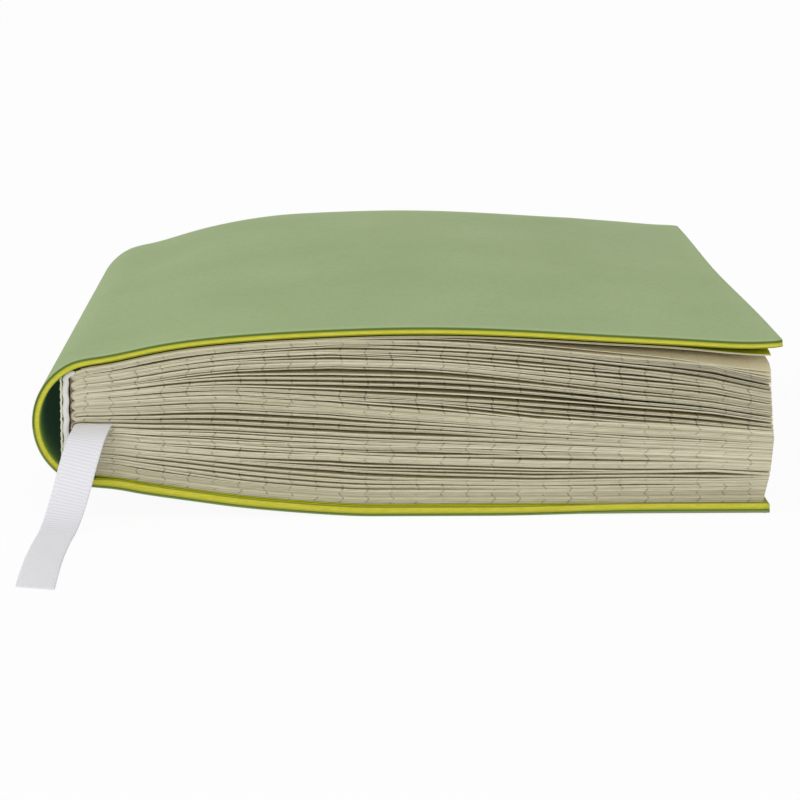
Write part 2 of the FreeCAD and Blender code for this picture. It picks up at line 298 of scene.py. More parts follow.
def piece(name, points, faces, finishes, attributes=None, marks=None, warp=True, sharp=35):
    """A mesh object from points in millimetres, with point attributes, and a finish number for each face."""
    mesh = bpy.data.meshes.new(name)
    places = np.array(settled(points) if warp else points) * MM
    mesh.from_pydata(places.tolist(), [], [list(f) for f in faces])
    for finish in finishes if isinstance(finishes, (list, tuple)) else [finishes]:
        mesh.materials.append(finish.material)
    for key, values in (attributes or {}).items():
        layer = mesh.attributes.new(key, "FLOAT", "POINT")
        layer.data.foreach_set("value", np.asarray(values, np.float32))
    if marks is not None:
        mesh.polygons.foreach_set("material_index", np.asarray(marks, np.int32))
    mesh.validate()
    mesh.shade_smooth()
    mesh.set_sharp_from_angle(angle=math.radians(sharp))
    obj = bpy.data.objects.new(name, mesh)
    bpy.context.scene.collection.objects.link(obj)
    print(name, len(mesh.polygons), "faces")
    return obj


def grid_faces(rows, columns, start=0, turned=False):
    """Quads over a grid of points that are stored row by row."""
    faces = []
    for r in range(rows - 1):
        for c in range(columns - 1):
            a = start + r * columns + c
            quad = (a, a + 1, a + columns + 1, a + columns)
            faces.append(quad[::-1] if turned else quad)
    return faces


def closed_sheet_faces(rows, columns):
    """The faces of a thin closed sheet, whose points are the grid of one side and then of the other. They
    all turn the same way, because the smooth shading of a rim goes by the turn of the faces beside it."""
    count, last_row = rows * columns, (rows - 1) * columns
    rims = []
    for start in range(0, last_row, columns):
        end = start + columns
        rims += [(start, end), (end + columns - 1, end - 1)]
    rims += [(c + 1, c) for c in range(columns - 1)]
    rims += [(last_row + c, last_row + c + 1) for c in range(columns - 1)]
    return (grid_faces(rows, columns) + grid_faces(rows, columns, count, True)
            + [(a, b, b + count, a + count) for a, b in rims])


def turned_outwards(obj):
    """The same piece with every face pointing outwards."""
    work = bmesh.new()
    work.from_mesh(obj.data)
    bmesh.ops.recalc_face_normals(work, faces=work.faces)
    work.to_mesh(obj.data)
    work.free()
    return obj


print("pieces are made from points")

# %% [markdown]
# ## The section of the book
# The cover is one strip of laminate that runs from the front's fore edge over the crown, down into the
# joint, round the spine and out along the back. It could be drawn as a free curve, but its layers have
# to stay a fixed depth apart. So a clamped cubic spline through a few places gives its outer line, and
# each layer is that line moved inwards by a depth.

# %% A smooth line
def smooth_line(points, first_way, last_way, steps):
    """Points along a clamped cubic spline, whose parameter is the distance between its places."""
    p = np.array(points, float)
    gaps = np.linalg.norm(np.diff(p, axis=0), axis=1)
    at = np.concatenate(([0.0], np.cumsum(gaps)))
    rows, right = np.eye(len(p)), np.zeros((len(p), 2))
    right[0], right[-1] = first_way, last_way
    for i in range(1, len(p) - 1):
        a, b = gaps[i - 1], gaps[i]
        rows[i, i - 1:i + 2] = b, 2 * (a + b), a
        right[i] = 3 * (b * (p[i] - p[i - 1]) / a + a * (p[i + 1] - p[i]) / b)
    ways = np.linalg.solve(rows, right)
    u = np.linspace(0.0, at[-1], steps)
    k = np.clip(np.searchsorted(at, u, side="right") - 1, 0, len(p) - 2)
    h, s = gaps[k][:, None], ((u - at[k]) / gaps[k])[:, None]
    return ((2 * s**3 - 3 * s**2 + 1) * p[k] + (s**3 - 2 * s**2 + s) * h * ways[k]
            + (3 * s**2 - 2 * s**3) * p[k + 1] + (s**3 - s**2) * h * ways[k + 1])


print("a line is smooth through its places")

# %% The cover's outer line
spine_middle = np.array((spine_radius - fore_edge, 19.0))
front_turn, back_turn = 116.5, 253.0  # the degrees round the spine where each cover leaves it
# each place is a share of the way to the fore edge, and of the way up to the crown
front_shape = ((0.045, 0.21), (0.115, 0.49), (0.215, 0.76), (0.35, 0.93), (0.48, 1.0), (0.62, 0.935),
               (0.76, 0.77), (0.88, 0.635), (0.96, 0.565), (1.0, 0.6))
# the back sweeps down from the spine to the table in the same kind of shares, and then lies flat
back_sweep = 58.0
back_shape = ((0.11, 0.865), (0.19, 0.74), (0.355, 0.515), (0.515, 0.315), (0.68, 0.165), (0.86, 0.045))

front_steps, spine_steps, back_steps, flat_steps = 240, 88, 120, 80


def on_spine(turn):
    return spine_middle + spine_radius * np.array((math.cos(math.radians(turn)), math.sin(math.radians(turn))))


hinge = {"front": on_spine(front_turn), "back": on_spine(back_turn)}
front_way = np.array((math.sin(math.radians(front_turn)), -math.cos(math.radians(front_turn))))
back_way = np.array((-math.sin(math.radians(back_turn)), math.cos(math.radians(back_turn))))
front_reach, crown_rise = fore_edge - hinge["front"][0], crown_height - hinge["front"][1]
front_places = [hinge["front"]] + [hinge["front"] + (a * front_reach, b * crown_rise) for a, b in front_shape]
back_places = [hinge["back"]] + [(hinge["back"][0] + a * back_sweep, hinge["back"][1] * b) for a, b in back_shape]
back_places += [(hinge["back"][0] + back_sweep, 0.0)]
front_line = smooth_line(front_places, front_way, (1.0, 0.06), front_steps)
back_line = smooth_line(back_places, back_way, (1.0, 0.0), back_steps)
flat_line = np.array([(x, 0.0) for x in np.linspace(back_line[-1][0], back_fore_edge, flat_steps)[1:]])
spine_turns = np.linspace(front_turn, back_turn, spine_steps + 2)[1:-1]
spine_line = np.array([on_spine(turn) for turn in spine_turns])
cover_line = np.vstack((front_line[::-1], spine_line, back_line, flat_line))
cover_run = np.concatenate(([0.0], np.cumsum(np.linalg.norm(np.diff(cover_line, axis=0), axis=1))))
cover_way = np.gradient(cover_line, cover_run, axis=0)
cover_way /= np.linalg.norm(cover_way, axis=1)[:, None]
inwards = np.stack((-cover_way[:, 1], cover_way[:, 0]), axis=1)
whole_run = cover_run[-1]
spine_split = cover_run[front_steps + spine_steps // 2]
hinge_run = {"front": cover_run[front_steps - 1], "back": cover_run[front_steps + spine_steps]}
# how far it is from each cover's own fore edge to its hinge, and to the spine's middle
to_hinge = {"front": hinge_run["front"], "back": whole_run - hinge_run["back"]}
to_middle = {"front": spine_split, "back": whole_run - spine_split}
print("the cover's outer line is", round(float(whole_run), 1), "mm long")

# %% A place in the section
def across(run, depth):
    """The section's place, so far along the cover from the front's fore edge and so deep in it."""
    run, depth = np.broadcast_arrays(np.asarray(run, float), np.asarray(depth, float))
    place = [np.interp(run, cover_run, cover_line[:, i]) + depth * np.interp(run, cover_run, inwards[:, i])
             for i in (0, 1)]
    return np.stack(place, axis=-1)


def from_fore_edge(side, distance):
    """The run along the whole cover, at a distance from that side's own fore edge."""
    return distance if side == "front" else whole_run - distance


print("the front's joint is at", across(hinge_run["front"], 0.0).round(2), "mm in the section")

# %% [markdown]
# ## Leather, core and lining
# The cover is an imitation leather laminate: a pale green grained skin whose cut edge shows a dark vivid
# green, a yellow foamed core and a lime lining. A flat strip with a Solidify modifier could carry the
# layers, but the rims are worn and trimmed by hand, so each layer is a closed sheet on a grid of points.
# Attributes of the points tell the finish where it is: rim is the cut edge, a second a pale band beside
# it that is a painted highlight on the rounded rim, deep the inner side, hollow the lining round the
# spine, where painted shade darkens it and a faint painted glow lifts it, and mouth the part of that near
# an end, where the painted shade is lighter.

# %% The leather's finish
leather = Finish("cover_leather", paint(154, 171, 126), 0.55, Specular_IOR_Level=0.25)
patches = leather.noise((0.035, 0.02, 0.035), 4.0)
flecks = leather.noise((0.9, 0.9, 0.9), 3.0)
hide_colour = leather.mixed(((patches - 0.5) * 1.6 + 0.5).clamped(), paint(139, 161, 100), paint(153, 174, 116))
hide_colour = leather.mixed(((flecks - 0.5) * 2.0).clamped() * 0.55, hide_colour, paint(124, 145, 90))
# a painted highlight: a paler band along the skin's rounded rim, as if the edge caught the light
hide_colour = leather.mixed(leather.attribute("rounded_highlit_rim") * 0.5, hide_colour, paint(170, 190, 136))
cut = leather.attribute("rim")
leather.feed("Base Color", leather.mixed((cut * 1.3).clamped(), hide_colour, paint(82, 106, 28)))
pebbles = leather.add("ShaderNodeTexVoronoi", {"feature": "SMOOTH_F1"},
                      {"Vector": leather.place((1.5, 1.5, 1.5)), "Scale": 1.0, "Smoothness": 0.35})
leather.bump(pebbles * 0.6 + leather.noise((3.0, 3.0, 3.0), 2.0) * 0.5, 0.07, 0.65)
leather.feed("Roughness", 0.5 + flecks * 0.12)
print("the leather has a grain, flecks and a worn rim")

# %% The core's and the lining's finish
core_finish = Finish("cover_core", paint(200, 196, 84), 0.7)
core_grain = core_finish.noise((0.5, 0.5, 4.0), 3.0)
core_colour = core_finish.mixed(((core_grain - 0.4) * 2).clamped(), paint(192, 188, 30), paint(214, 208, 78))
core_specks = core_finish.noise((0.8, 0.8, 3.0), 3.0)
core_colour = core_finish.mixed(((core_specks - 0.56) * 5).clamped() * 0.4, core_colour, paint(170, 142, 30))
core_finish.feed("Base Color", core_finish.mixed((core_finish.attribute("deep") * 2.4).clamped(),
                                                 paint(150, 152, 36), core_colour))
core_finish.bump(core_grain, 0.03, 0.4)

lining_finish = Finish("cover_lining", paint(140, 150, 52), 0.75)
weft = lining_finish.noise((2.5, 2.5, 2.5), 3.0)
lime_side = lining_finish.mixed(((weft - 0.4) * 2).clamped(), paint(146, 154, 38), paint(172, 180, 58))
hollow = lining_finish.attribute("hollow")
lime_side = lining_finish.mixed(lining_finish.attribute("rim"), lime_side, paint(128, 130, 34))
# inside the spine the lining is green, with painted shade making it dark deep in the hollow and lighter lime near
# the ends
hollow_green_and_shade = lining_finish.mixed(lining_finish.attribute("mouth"), paint(60, 96, 74), paint(128, 158, 36))
lining_finish.feed("Base Color", lining_finish.mixed(hollow, lime_side, hollow_green_and_shade))
# a faint painted glow in the hollow stands in for light that reaches into it
lining_finish.feed("Emission Color", lining_finish.mixed(hollow, (0, 0, 0, 1), paint(22, 36, 27)))
lining_finish.shader.inputs["Emission Strength"].default_value = 1.0
lining_finish.bump(weft, 0.04, 0.5)
print("the core is specked, and the lining is darker inside the spine")

# %% How deep each layer lies
# the near and the far face of each layer, and how much deeper they are round the spine and on the back
layer_depths = {"skin": (0.0, 0.45), "core": (0.47, 1.2), "lining": (1.22, 1.38), "paper": (1.4, 1.54)}
spine_swell = {"skin": (0.0, 0.0), "core": (0.0, 0.15), "lining": (0.15, 0.15), "paper": (0.12, 0.1)}
back_swell = {"skin": (0.0, 0.09), "core": (0.09, 0.36), "lining": (0.36, 0.34), "paper": (0.34, 0.34)}
# the worn skin is rounded off at these distances from its rim, by these depths
rim_places, rim_depths = (0.0, 0.05, 0.15, 0.4), (0.19, 0.08, 0.02, 0.0)
# how far the back cover's trimmed tail edge is lifted, and how much thicker its foam is there and at the joint
tail_lift, foam_lip, joint_lip = 0.6, 0.15, 0.12


def cover_depth(side, layer, face, to_go):
    """A layer's depth, which is a little more round the spine and on the back, to_go before the hinge."""
    away = float(ease(to_go / 10))
    swell = spine_swell[layer][face] * (1 - away) + (back_swell[layer][face] * away if side == "back" else 0)
    return layer_depths[layer][face] + swell


def flare(side, y, to_go):
    """How far the back cover's trimmed tail edge is lifted, away from the spine."""
    return tail_lift * float(ease((-102.8 - y) / 2.2) * ease((to_go - 80) / 35)) if side == "back" else 0.0


def lip(side, y, to_go):
    """How much thicker the back cover's foam is at its trimmed tail edge, most of all near the joint."""
    thicker = foam_lip + joint_lip * (1 - ease((to_go - 12) / 60))
    return float(thicker * ease((-103.4 - y) / 1.2) * ease(to_go / 6)) if side == "back" else 0.0


print("layers", list(layer_depths), "lie between 0 and", layer_depths["paper"][1], "mm deep")

# %% A layer of the cover
# distances from the fore edge and from the tail or head, close together where the layer is cut or bends
edge_steps = np.concatenate(((0, 0.05, 0.15, 0.4, 0.8, 1.2, 1.6, 2.0, 2.6), np.arange(3.5, 12, 1.2),
                             np.arange(12, 130, 2.0)))
joint_reach, joint_step = 14, 0.55
end_steps = np.concatenate(((0, 0.05, 0.15, 0.4, 1.5), np.linspace(4, cover_half, 9)))
end_shares = np.concatenate((-(cover_half - end_steps), (cover_half - end_steps[:-1])[::-1])) / cover_half
end_band, tail_corner, head_corner = 5, 2.0, 4.0
# how dark a cut edge is, how far it reaches on the near and the far face, and where the rounded skin gets a
# painted highlight, full at the tail and head and weaker along the fore edge
rim_shade, near_rim, far_rim = {"front": 0.8, "back": 0.3}, 0.2, 0.16
highlight_places, highlight_shares, fore_highlight = (0.15, 0.3, 2.0, 4.5), (0, 1, 0.8, 0), 0.3
mouth_reach, hollow_start, hollow_reach = 11, 1.5, 3.0


def half_height(corner, from_edge):
    """Half the cover's height, less what a rounded corner takes off near the fore edge."""
    short = np.clip(corner - from_edge, 0, corner)
    return cover_half - (corner - np.sqrt(np.maximum(corner**2 - short**2, 0)))


def end_place(share, half):
    """The y of a share of the height: the last band keeps its distance from the end, the rest spreads."""
    y, inner_half = abs(share * cover_half), cover_half - end_band
    y = max(0.0, half - (cover_half - y)) if y > inner_half else y * (half - end_band) / inner_half
    return math.copysign(y, share)


def cover_layer(name, side, layer, finish, rounded_highlit_rim=False):
    """Half of one layer of the cover, from the fore edge to the spine's middle, from near to far in depth."""
    joint = to_hinge[side] - joint_reach
    from_edge = np.concatenate((edge_steps[edge_steps < joint],
                                np.arange(joint, to_middle[side] - 0.3, joint_step), [to_middle[side]]))
    run = from_fore_edge(side, from_edge)
    halves = [half_height(corner, from_edge) for corner in (tail_corner, head_corner)]
    outer, inner, rims, inner_rims, hollows, rim_highlights, mouths = [], [], [], [], [], [], []
    for e, r, tail_half, head_half in zip(from_edge, run, *halves):
        to_go = to_hinge[side] - e
        near, far = (cover_depth(side, layer, face, to_go) for face in (0, 1))
        for share in end_shares:
            half = tail_half if share < 0 else head_half
            y = end_place(share, half)
            to_end = half - abs(y)
            edge = min(to_end, e)
            lift, thicker = flare(side, y, to_go), lip(side, y, to_go)
            near_x, near_z = across(r, near + (np.interp(edge, rim_places, rim_depths) if rounded_highlit_rim else 0))
            far_x, far_z = across(r, far)
            outer.append((near_x, y, near_z + (lift + (thicker if layer == "lining" else 0.0))))
            inner.append((far_x, y, far_z + (lift + (thicker if layer != "skin" else 0.0))))
            rims.append(rim_shade[side] * (1 - min(1, edge / near_rim)))
            inner_rims.append(max(0.0, 1 - edge / far_rim))
            # the painted rim highlight is full along the tail and head, and weaker along the fore edge
            highlight_strength = (1.0 if to_end <= e else fore_highlight) if rounded_highlit_rim else 0.0
            rim_highlights.append(float(np.interp(edge, highlight_places, highlight_shares)) * highlight_strength)
            mouths.append(float(1 - ease(to_end / mouth_reach)))
            hollows.append(float(ease((hollow_start - to_go) / hollow_reach)))
    none, all_of_it = [0.0] * len(outer), [1.0] * len(outer)
    attributes = {"rim": rims + inner_rims, "hollow": none + hollows, "rounded_highlit_rim": rim_highlights + none,
                  "mouth": mouths + mouths, "deep": none + all_of_it}
    faces = closed_sheet_faces(len(from_edge), len(end_shares))
    return turned_outwards(piece(name, outer + inner, faces, finish, attributes))


print("a layer has", len(end_shares), "points from tail to head in each row")

# %% [markdown]
# ## Covers that open
# Each cover turns about a line in its joint. Cutting the laminate there would leave a crack when the book
# opens, so each half of a layer bends between the book and its cover over a few millimetres instead.

# %% The covers
# the hinge lines in the section, and how far the laminate bends on the spine's side and the cover's
pivots = {"front": np.array((-66.268, 30.768)), "back": np.array((-64.245, 6.425))}
ways = {"front": front_way, "back": back_way}
spine_bend, cover_bend = 1.0, 8.5


def bend(obj, side):
    """The piece follows the book at the spine and its cover past the joint. The front goes from cover to
    book, because a half turn has no direction of its own and each cover has to fold outwards."""
    pivot, way = pivots[side], ways[side]
    spine_end, cover_end = ((x * MM, 0, z * MM) for x, z in (pivot - way * spine_bend, pivot + way * cover_bend))
    if side == "front":
        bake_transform(obj, "front_cover", "book_block", start=cover_end, end=spine_end)
    else:
        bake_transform(obj, "book_block", "back_cover", start=spine_end, end=cover_end)


for side in ("front", "back"):
    for part, layer, finish in (("leather", "skin", leather), ("board", "core", core_finish),
                                ("inside", "lining", lining_finish)):
        obj = cover_layer(side + "_" + part, side, layer, finish, rounded_highlit_rim=layer == "skin")
        bend(obj, side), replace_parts(obj, side + "_" + layer, "spine_" + layer), (obj, "cover_" + layer)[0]

# %% [markdown]
# ## The text block
# A hundred and sixty leaves are eighty folded sheets in ten sewn signatures. Opened and shut often, the
# leaves have parted unevenly, and the openings between them are what the eye reads as pages. One block
# with lines painted on it would lose their shadows, and sheets placed one by one would cross. So each
# leaf's height is the sum of the leaves and openings under it, worked out in numbers.

# %% The openings between the leaves
leaf_pitch, leaf_thickness, signatures, leaves_each = 0.118, 0.11, 10, 16
leaf_count = signatures * leaves_each
opening_places = (-65, -50, -35, -15, 5, 25, 45, 60, 71)
# the width in millimetres of each opening, under the leaf of that number, at each of those places
page_openings = {
    20: (0, 0.32, 0.09, 0, 0, 0, 0, 0, 0),
    23: (0, 0, 0.29, 0.34, 0.26, 0, 0, 0, 0),
    28: (0, 0.27, 0.43, 0.36, 0.24, 0.12, 0.25, 0, 0),
    33: (0, 0.36, 0.38, 0.41, 0, 0, 0, 0, 0),
    37: (0, 0.09, 0.46, 0.74, 0.64, 0.42, 0.27, 0.21, 0),
    40: (0, 0, 0, 0, 0.37, 0.41, 0.22, 0.49, 0),
    42: (0, 0, 0, 0.44, 0.42, 0.31, 0, 0, 0),
    44: (0, 0.20, 0.21, 0.49, 0.32, 0.29, 0.28, 0.12, 0.22),
    53: (0, 0, 0.45, 0, 0, 0, 0, 0, 0),
    55: (0, 0.17, 0.13, 0.20, 0.17, 0.55, 0.30, 0.06, 0),
    58: (0, 0, 0, 0, 0.65, 0, 0, 0, 0),
    59: (0, 0, 0, 0.34, 0, 0, 0, 0, 0),
    64: (0, 0, 0, 0, 0.11, 0.23, 0, 0, 0),
    65: (0, 0.35, 0.25, 0, 0, 0, 0, 0, 0),
    66: (0, 0, 0.33, 0.24, 0, 0, 0, 0, 0),
    70: (0, 0, 0, 0, 0.20, 0, 0, 0, 0),
    71: (0, 0, 0.22, 0.22, 0, 0, 0, 0, 0),
    73: (0, 0.39, 0.22, 0.28, 0.24, 0.26, 0.11, 0, 0),
    78: (0.25, 0.40, 0.51, 0.62, 0.68, 0, 0, 0, 0),
    82: (0, 0.36, 0.58, 0.52, 0.31, 0.26, 0, 0, 0),
    86: (0.23, 0.39, 0.62, 0.60, 0.29, 0.28, 0.10, 0.08, 0),
    89: (0, 0.09, 0.17, 0.29, 0.22, 0, 0.23, 0.15, 0),
    97: (0, 0.28, 0.34, 0, 0, 0, 0, 0, 0),
    106: (0, 0, 0, 0.41, 0.49, 0, 0, 0, 0),
    107: (0, 0.17, 0.25, 0, 0, 0, 0, 0, 0),
    108: (0, 0, 0, 0, 0.57, 0.56, 0, 0, 0),
    110: (0, 0, 0, 0, 0.07, 0.50, 0.46, 0.20, 0.08),
    112: (0, 0.32, 0.19, 0.36, 0.07, 0.10, 0.10, 0.06, 0.02),
    113: (0, 0, 0, 0, 0.07, 0.50, 0.44, 0.38, 0.17),
    116: (0, 0, 0.14, 0.45, 0.76, 0.67, 0.64, 0.55, 0.23),
    118: (0, 0, 0.26, 0.65, 0.86, 0.71, 0.33, 0.13, 0.03),
    121: (0, 0.34, 0.41, 0.46, 0.62, 0.57, 0.30, 0.17, 0.21),
    124: (0, 0, 0.32, 0.54, 0.41, 0.08, 0, 0, 0.03),
    126: (0, 0.11, 0.40, 0.94, 0.87, 0.52, 0.27, 0.22, 0.03),
    128: (0, 0.15, 0.20, 0.16, 0.25, 0.17, 0.31, 0.07, 0.03),
    134: (0, 0, 0, 0, 0, 0.24, 0.24, 0.30, 0.12),
    135: (0, 0.30, 0.18, 0, 0, 0, 0, 0, 0),
    139: (0, 0, 0, 0.50, 0.23, 0.24, 0.39, 0.14, 0),
    141: (0, 0.09, 0.30, 0.37, 0, 0, 0, 0, 0),
    142: (0, 0, 0, 0, 0.36, 0.35, 0.39, 0, 0),
    144: (0, 0, 0, 0, 0.28, 0.56, 0, 0, 0),
    148: (0, 0, 0, 0.44, 0.30, 0.37, 0.39, 0.32, 0.17),
    150: (0, 0.49, 0.34, 0.19, 0, 0, 0, 0.08, 0.08),
    151: (0, 0, 0, 0, 0.50, 0.21, 0.18, 0.39, 0.21),
    157: (0, 0, 0, 0, 0, 0, 0, 0, 0.30),
    158: (0, 0, 0, 0, 0.45, 0.53, 0.50, 0, 0.49),
    159: (0, 0, 0, 0, 0.12, 0.67, 1.26, 1.69, 2.04),
}
# the small space under every other leaf of each signature, at the same places
looseness = (
    (0.008, 0.002, 0.002, 0.002, 0.002, 0.002, 0.004, 0.009, 0.011),
    (0.008, 0.002, 0.004, 0.007, 0.002, 0.002, 0.006, 0.009, 0.011),
    (0.008, 0.002, 0.014, 0.018, 0.020, 0.015, 0.012, 0.002, 0.009),
    (0.008, 0.005, 0.002, 0.006, 0.004, 0.010, 0.013, 0.002, 0.002),
    (0.005, 0.003, 0.013, 0.012, 0.008, 0.013, 0.005, 0.002, 0.002),
    (0.002, 0.012, 0.021, 0.020, 0.009, 0.005, 0.002, 0.002, 0.002),
    (0.004, 0.004, 0.007, 0.012, 0.007, 0.002, 0.012, 0.002, 0.002),
    (0.004, 0.010, 0.022, 0.033, 0.042, 0.043, 0.036, 0.040, 0.046),
    (0.002, 0.002, 0.006, 0.002, 0.006, 0.009, 0.019, 0.027, 0.031),
    (0.002, 0.002, 0.002, 0.002, 0.011, 0.021, 0.031, 0.043, 0.048),
)
print(len(page_openings), "openings under", leaf_count, "leaves")

# %% Where the stack of leaves lies
fold_back, page_edge, page_half = -65.81, 71.1, 103.2
fold_centre = fold_back + 1.02
# from the cover's outer line to the leaves: laminate, film, pastedown, room, flyleaf, and room again
block_depth = 1.5 + 0.03 + 0.15 + 0.3 + 0.15 + 0.08
block_top = across(np.linspace(0, hinge_run["front"], 400), block_depth)[::-1]
block_bottom = across(np.linspace(hinge_run["back"], whole_run, 400), block_depth)
corner_droop, droop_reach = 0.9, 26


def stack_bottom(x):
    return np.interp(x, block_bottom[:, 0], block_bottom[:, 1])


def stack_top(x, droop_share=1.0):
    """The top of the leaves, which droop a little at the tail's fore corner."""
    past = np.maximum(0, np.asarray(x) - (page_edge - droop_reach)) / droop_reach
    return np.interp(x, block_top[:, 0], block_top[:, 1]) - corner_droop * droop_share * past ** 2


print("the stack is", round(float(stack_top(0.0) - stack_bottom(0.0)), 2), "mm high at the middle")

# %% The leaves' heights
def filled(spaces, x, droop_share):
    """The spaces in the same proportions, so that with the leaves they fill the height between the covers."""
    spare = np.maximum(stack_top(x, droop_share) - stack_bottom(x) - leaf_count * leaf_pitch, 0.05)
    return spaces * spare / np.maximum(spaces.sum(axis=0), 1e-6)


def leaf_spaces(x, seed=None, droop_share=1.0):
    """The space under each leaf at each place x: the openings at the tail, or for a seed a mixed pattern."""
    spaces = np.zeros((leaf_count, len(x)))
    for leaf, widths in page_openings.items():
        spaces[leaf] += np.interp(x, opening_places, widths)
    dice = np.random.default_rng(7)
    for signature, widths in enumerate(looseness):
        for leaf in range(signature * leaves_each, (signature + 1) * leaves_each):
            spaces[leaf] += np.interp(x, opening_places, widths) * dice.uniform(0.2, 1.8)
    if seed is not None:
        dice = np.random.default_rng(seed)
        spread = np.array([spaces[max(0, leaf - 6):leaf + 7].mean(axis=0) for leaf in range(leaf_count)])
        spaces = np.array([row * dice.choice((0.25, 0.4, 3.0), p=(0.4, 0.35, 0.25)) + 0.004 for row in spread])
    spaces[0] = 0
    return filled(spaces, x, droop_share)


def stacked(spaces, x):
    """The middle height of every leaf at each place x, over the spaces under it."""
    count = np.arange(leaf_count)[:, None]
    return stack_bottom(x) + (count + 0.5) * leaf_pitch + np.cumsum(spaces, axis=0)


page_steps = np.concatenate((fold_centre + np.array((0, 0.6, 1.4, 2.6, 4.2, 6.2)), np.linspace(-56, 60, 38),
                             (63, 66, 68.5, 70.3, page_edge)))
tail_heights = stacked(leaf_spaces(page_steps), page_steps)
print("at the tail the leaves' middles span",
      round(float(tail_heights[-1][24] - tail_heights[0][24]), 2), "mm")

# %% From the tail to the head
head_seed, upper_leaves = 21, 105
# steps towards the head: the length, the share of the tail's openings that is kept, the same for the
# upper leaves at the fore edge, and what is left of the droop
keep_steps = ((3.0, 0.9, 0.3, 0.55), (8.0, 0.75, 0.08, 0.15), (34.0, 0.45, 0.03, 0.0))


def between_heights(share, fore_share, droop_share):
    """The leaves' heights where the tail's openings keep that share, and fore_share at the upper fore edge."""
    count = np.arange(leaf_count)[:, None]
    keep = share + (fore_share - share) * (count >= upper_leaves) * ease((page_steps - 20) / 30)
    spaces = leaf_spaces(page_steps) * keep + leaf_spaces(page_steps, head_seed) * (1 - keep)
    return stacked(filled(spaces, page_steps, droop_share), page_steps)


section_steps = [(length, between_heights(*shares)) for length, *shares in keep_steps]
last_length = 2 * page_half - sum(step[0] for step in keep_steps)
section_steps.append((last_length, stacked(leaf_spaces(page_steps, head_seed, 0.0), page_steps)))
droop_shares = [step[-1] for step in keep_steps] + [0.0]
print("the leaves go to the head in steps of", [length for length, _ in section_steps], "mm")

# %% [markdown]
# ## The paper
# Cream paper with a pale grey rule every five millimetres, which runs off the sheets and so shows as
# small ticks on their cut edges. A drawn grid would slide over the folds. The ticks here are worked out
# from an attribute that says how far along its sheet a point is, so they slant with the sheet round its
# fold, and a second attribute gives each leaf its own tone, raised as a painted highlight on the cut
# edges of leaves that lie just under an opening.

# %% The paper's finish
paper = Finish("page_paper", paint(186, 180, 148), 0.85, Specular_IOR_Level=0.2)
along, leaf_tone_and_highlight = paper.attribute("along"), paper.attribute("leaf_tone_and_highlight")
cut_edge = (paper.attribute("cut") + ((paper.attribute("fore_end") - 0.9) * 10).clamped()).clamped()
fibres = paper.noise((0.25, 0.25, 6.0), 4.0)
# a higher tone lightens a leaf's cut edge; on leaves just under an opening this is a painted highlight
edge_share = (leaf_tone_and_highlight * 0.75 + fibres * 0.9 - 0.35).clamped()
edge_colour = paper.mixed(edge_share, paint(156, 149, 122), paint(232, 226, 199))
sheet_colour = paper.mixed(fibres, paint(222, 213, 182), paint(232, 224, 196))
page_colour = paper.mixed(cut_edge, sheet_colour, edge_colour)
rule_pitch, rule_width = 5.0, 0.042
jitter = (leaf_tone_and_highlight * 7.3).fraction()
tick = ((rule_width - ((along / rule_pitch + jitter * 0.05).fraction() - 0.5).size()) * 60).clamped()
broken = ((paper.noise((0.25, 0.0, 1.4), 1.0) - 0.41) * 9).clamped()
inked = (((jitter - 0.2) * 3).clamped() * 0.46 + 0.08) * broken
paper.feed("Base Color", paper.mixed(tick * inked, page_colour, paint(92, 88, 76)))
paper.bump(fibres, 0.02, 0.3)
print("the paper has a tick every", rule_pitch, "mm")

# %% One sheet's section
stack_height = float(stack_top(60.0) - stack_bottom(60.0))
# the fore edge isn't straight: at these shares of the stack's height it is pushed out by this much
fore_shares, fore_pushes = (0, 0.2, 0.42, 0.7, 1), (-1.5, 0.0, 0.7, 0.2, 0)
fore_points = 5


def sheet_leaves(signature, sheet):
    """The numbers of a folded sheet's lower and upper leaf, from the outside of its signature inwards."""
    return signature * leaves_each + sheet, (signature + 1) * leaves_each - 1 - sheet


def leaf_line(heights):
    """A leaf's middle line from the fold to the fore edge, with its fore edge pushed out or in."""
    share = (heights[-fore_points:] - stack_bottom(page_steps[-fore_points:])) / stack_height
    x = page_steps.copy()
    x[-fore_points:] += np.interp(share, fore_shares, fore_pushes) * np.linspace(0.2, 1, fore_points)
    return np.stack((x, heights), axis=1)


def sheet_section(signature, sheet, heights):
    """The middle line of one folded sheet, from its lower leaf's fore edge round the fold to the upper's."""
    lower, upper = (heights[leaf] for leaf in sheet_leaves(signature, sheet))
    middle, radius = (lower[0] + upper[0]) / 2, (upper[0] - lower[0]) / 2
    turns = np.radians(np.linspace(-90, -270, 9)[1:-1])
    fold = np.stack((fold_centre + radius * np.cos(turns), middle + radius * np.sin(turns)), axis=1)
    return np.vstack((leaf_line(lower)[::-1], fold, leaf_line(upper))), radius


print("a sheet's section has", len(sheet_section(0, 0, tail_heights)[0]), "points")

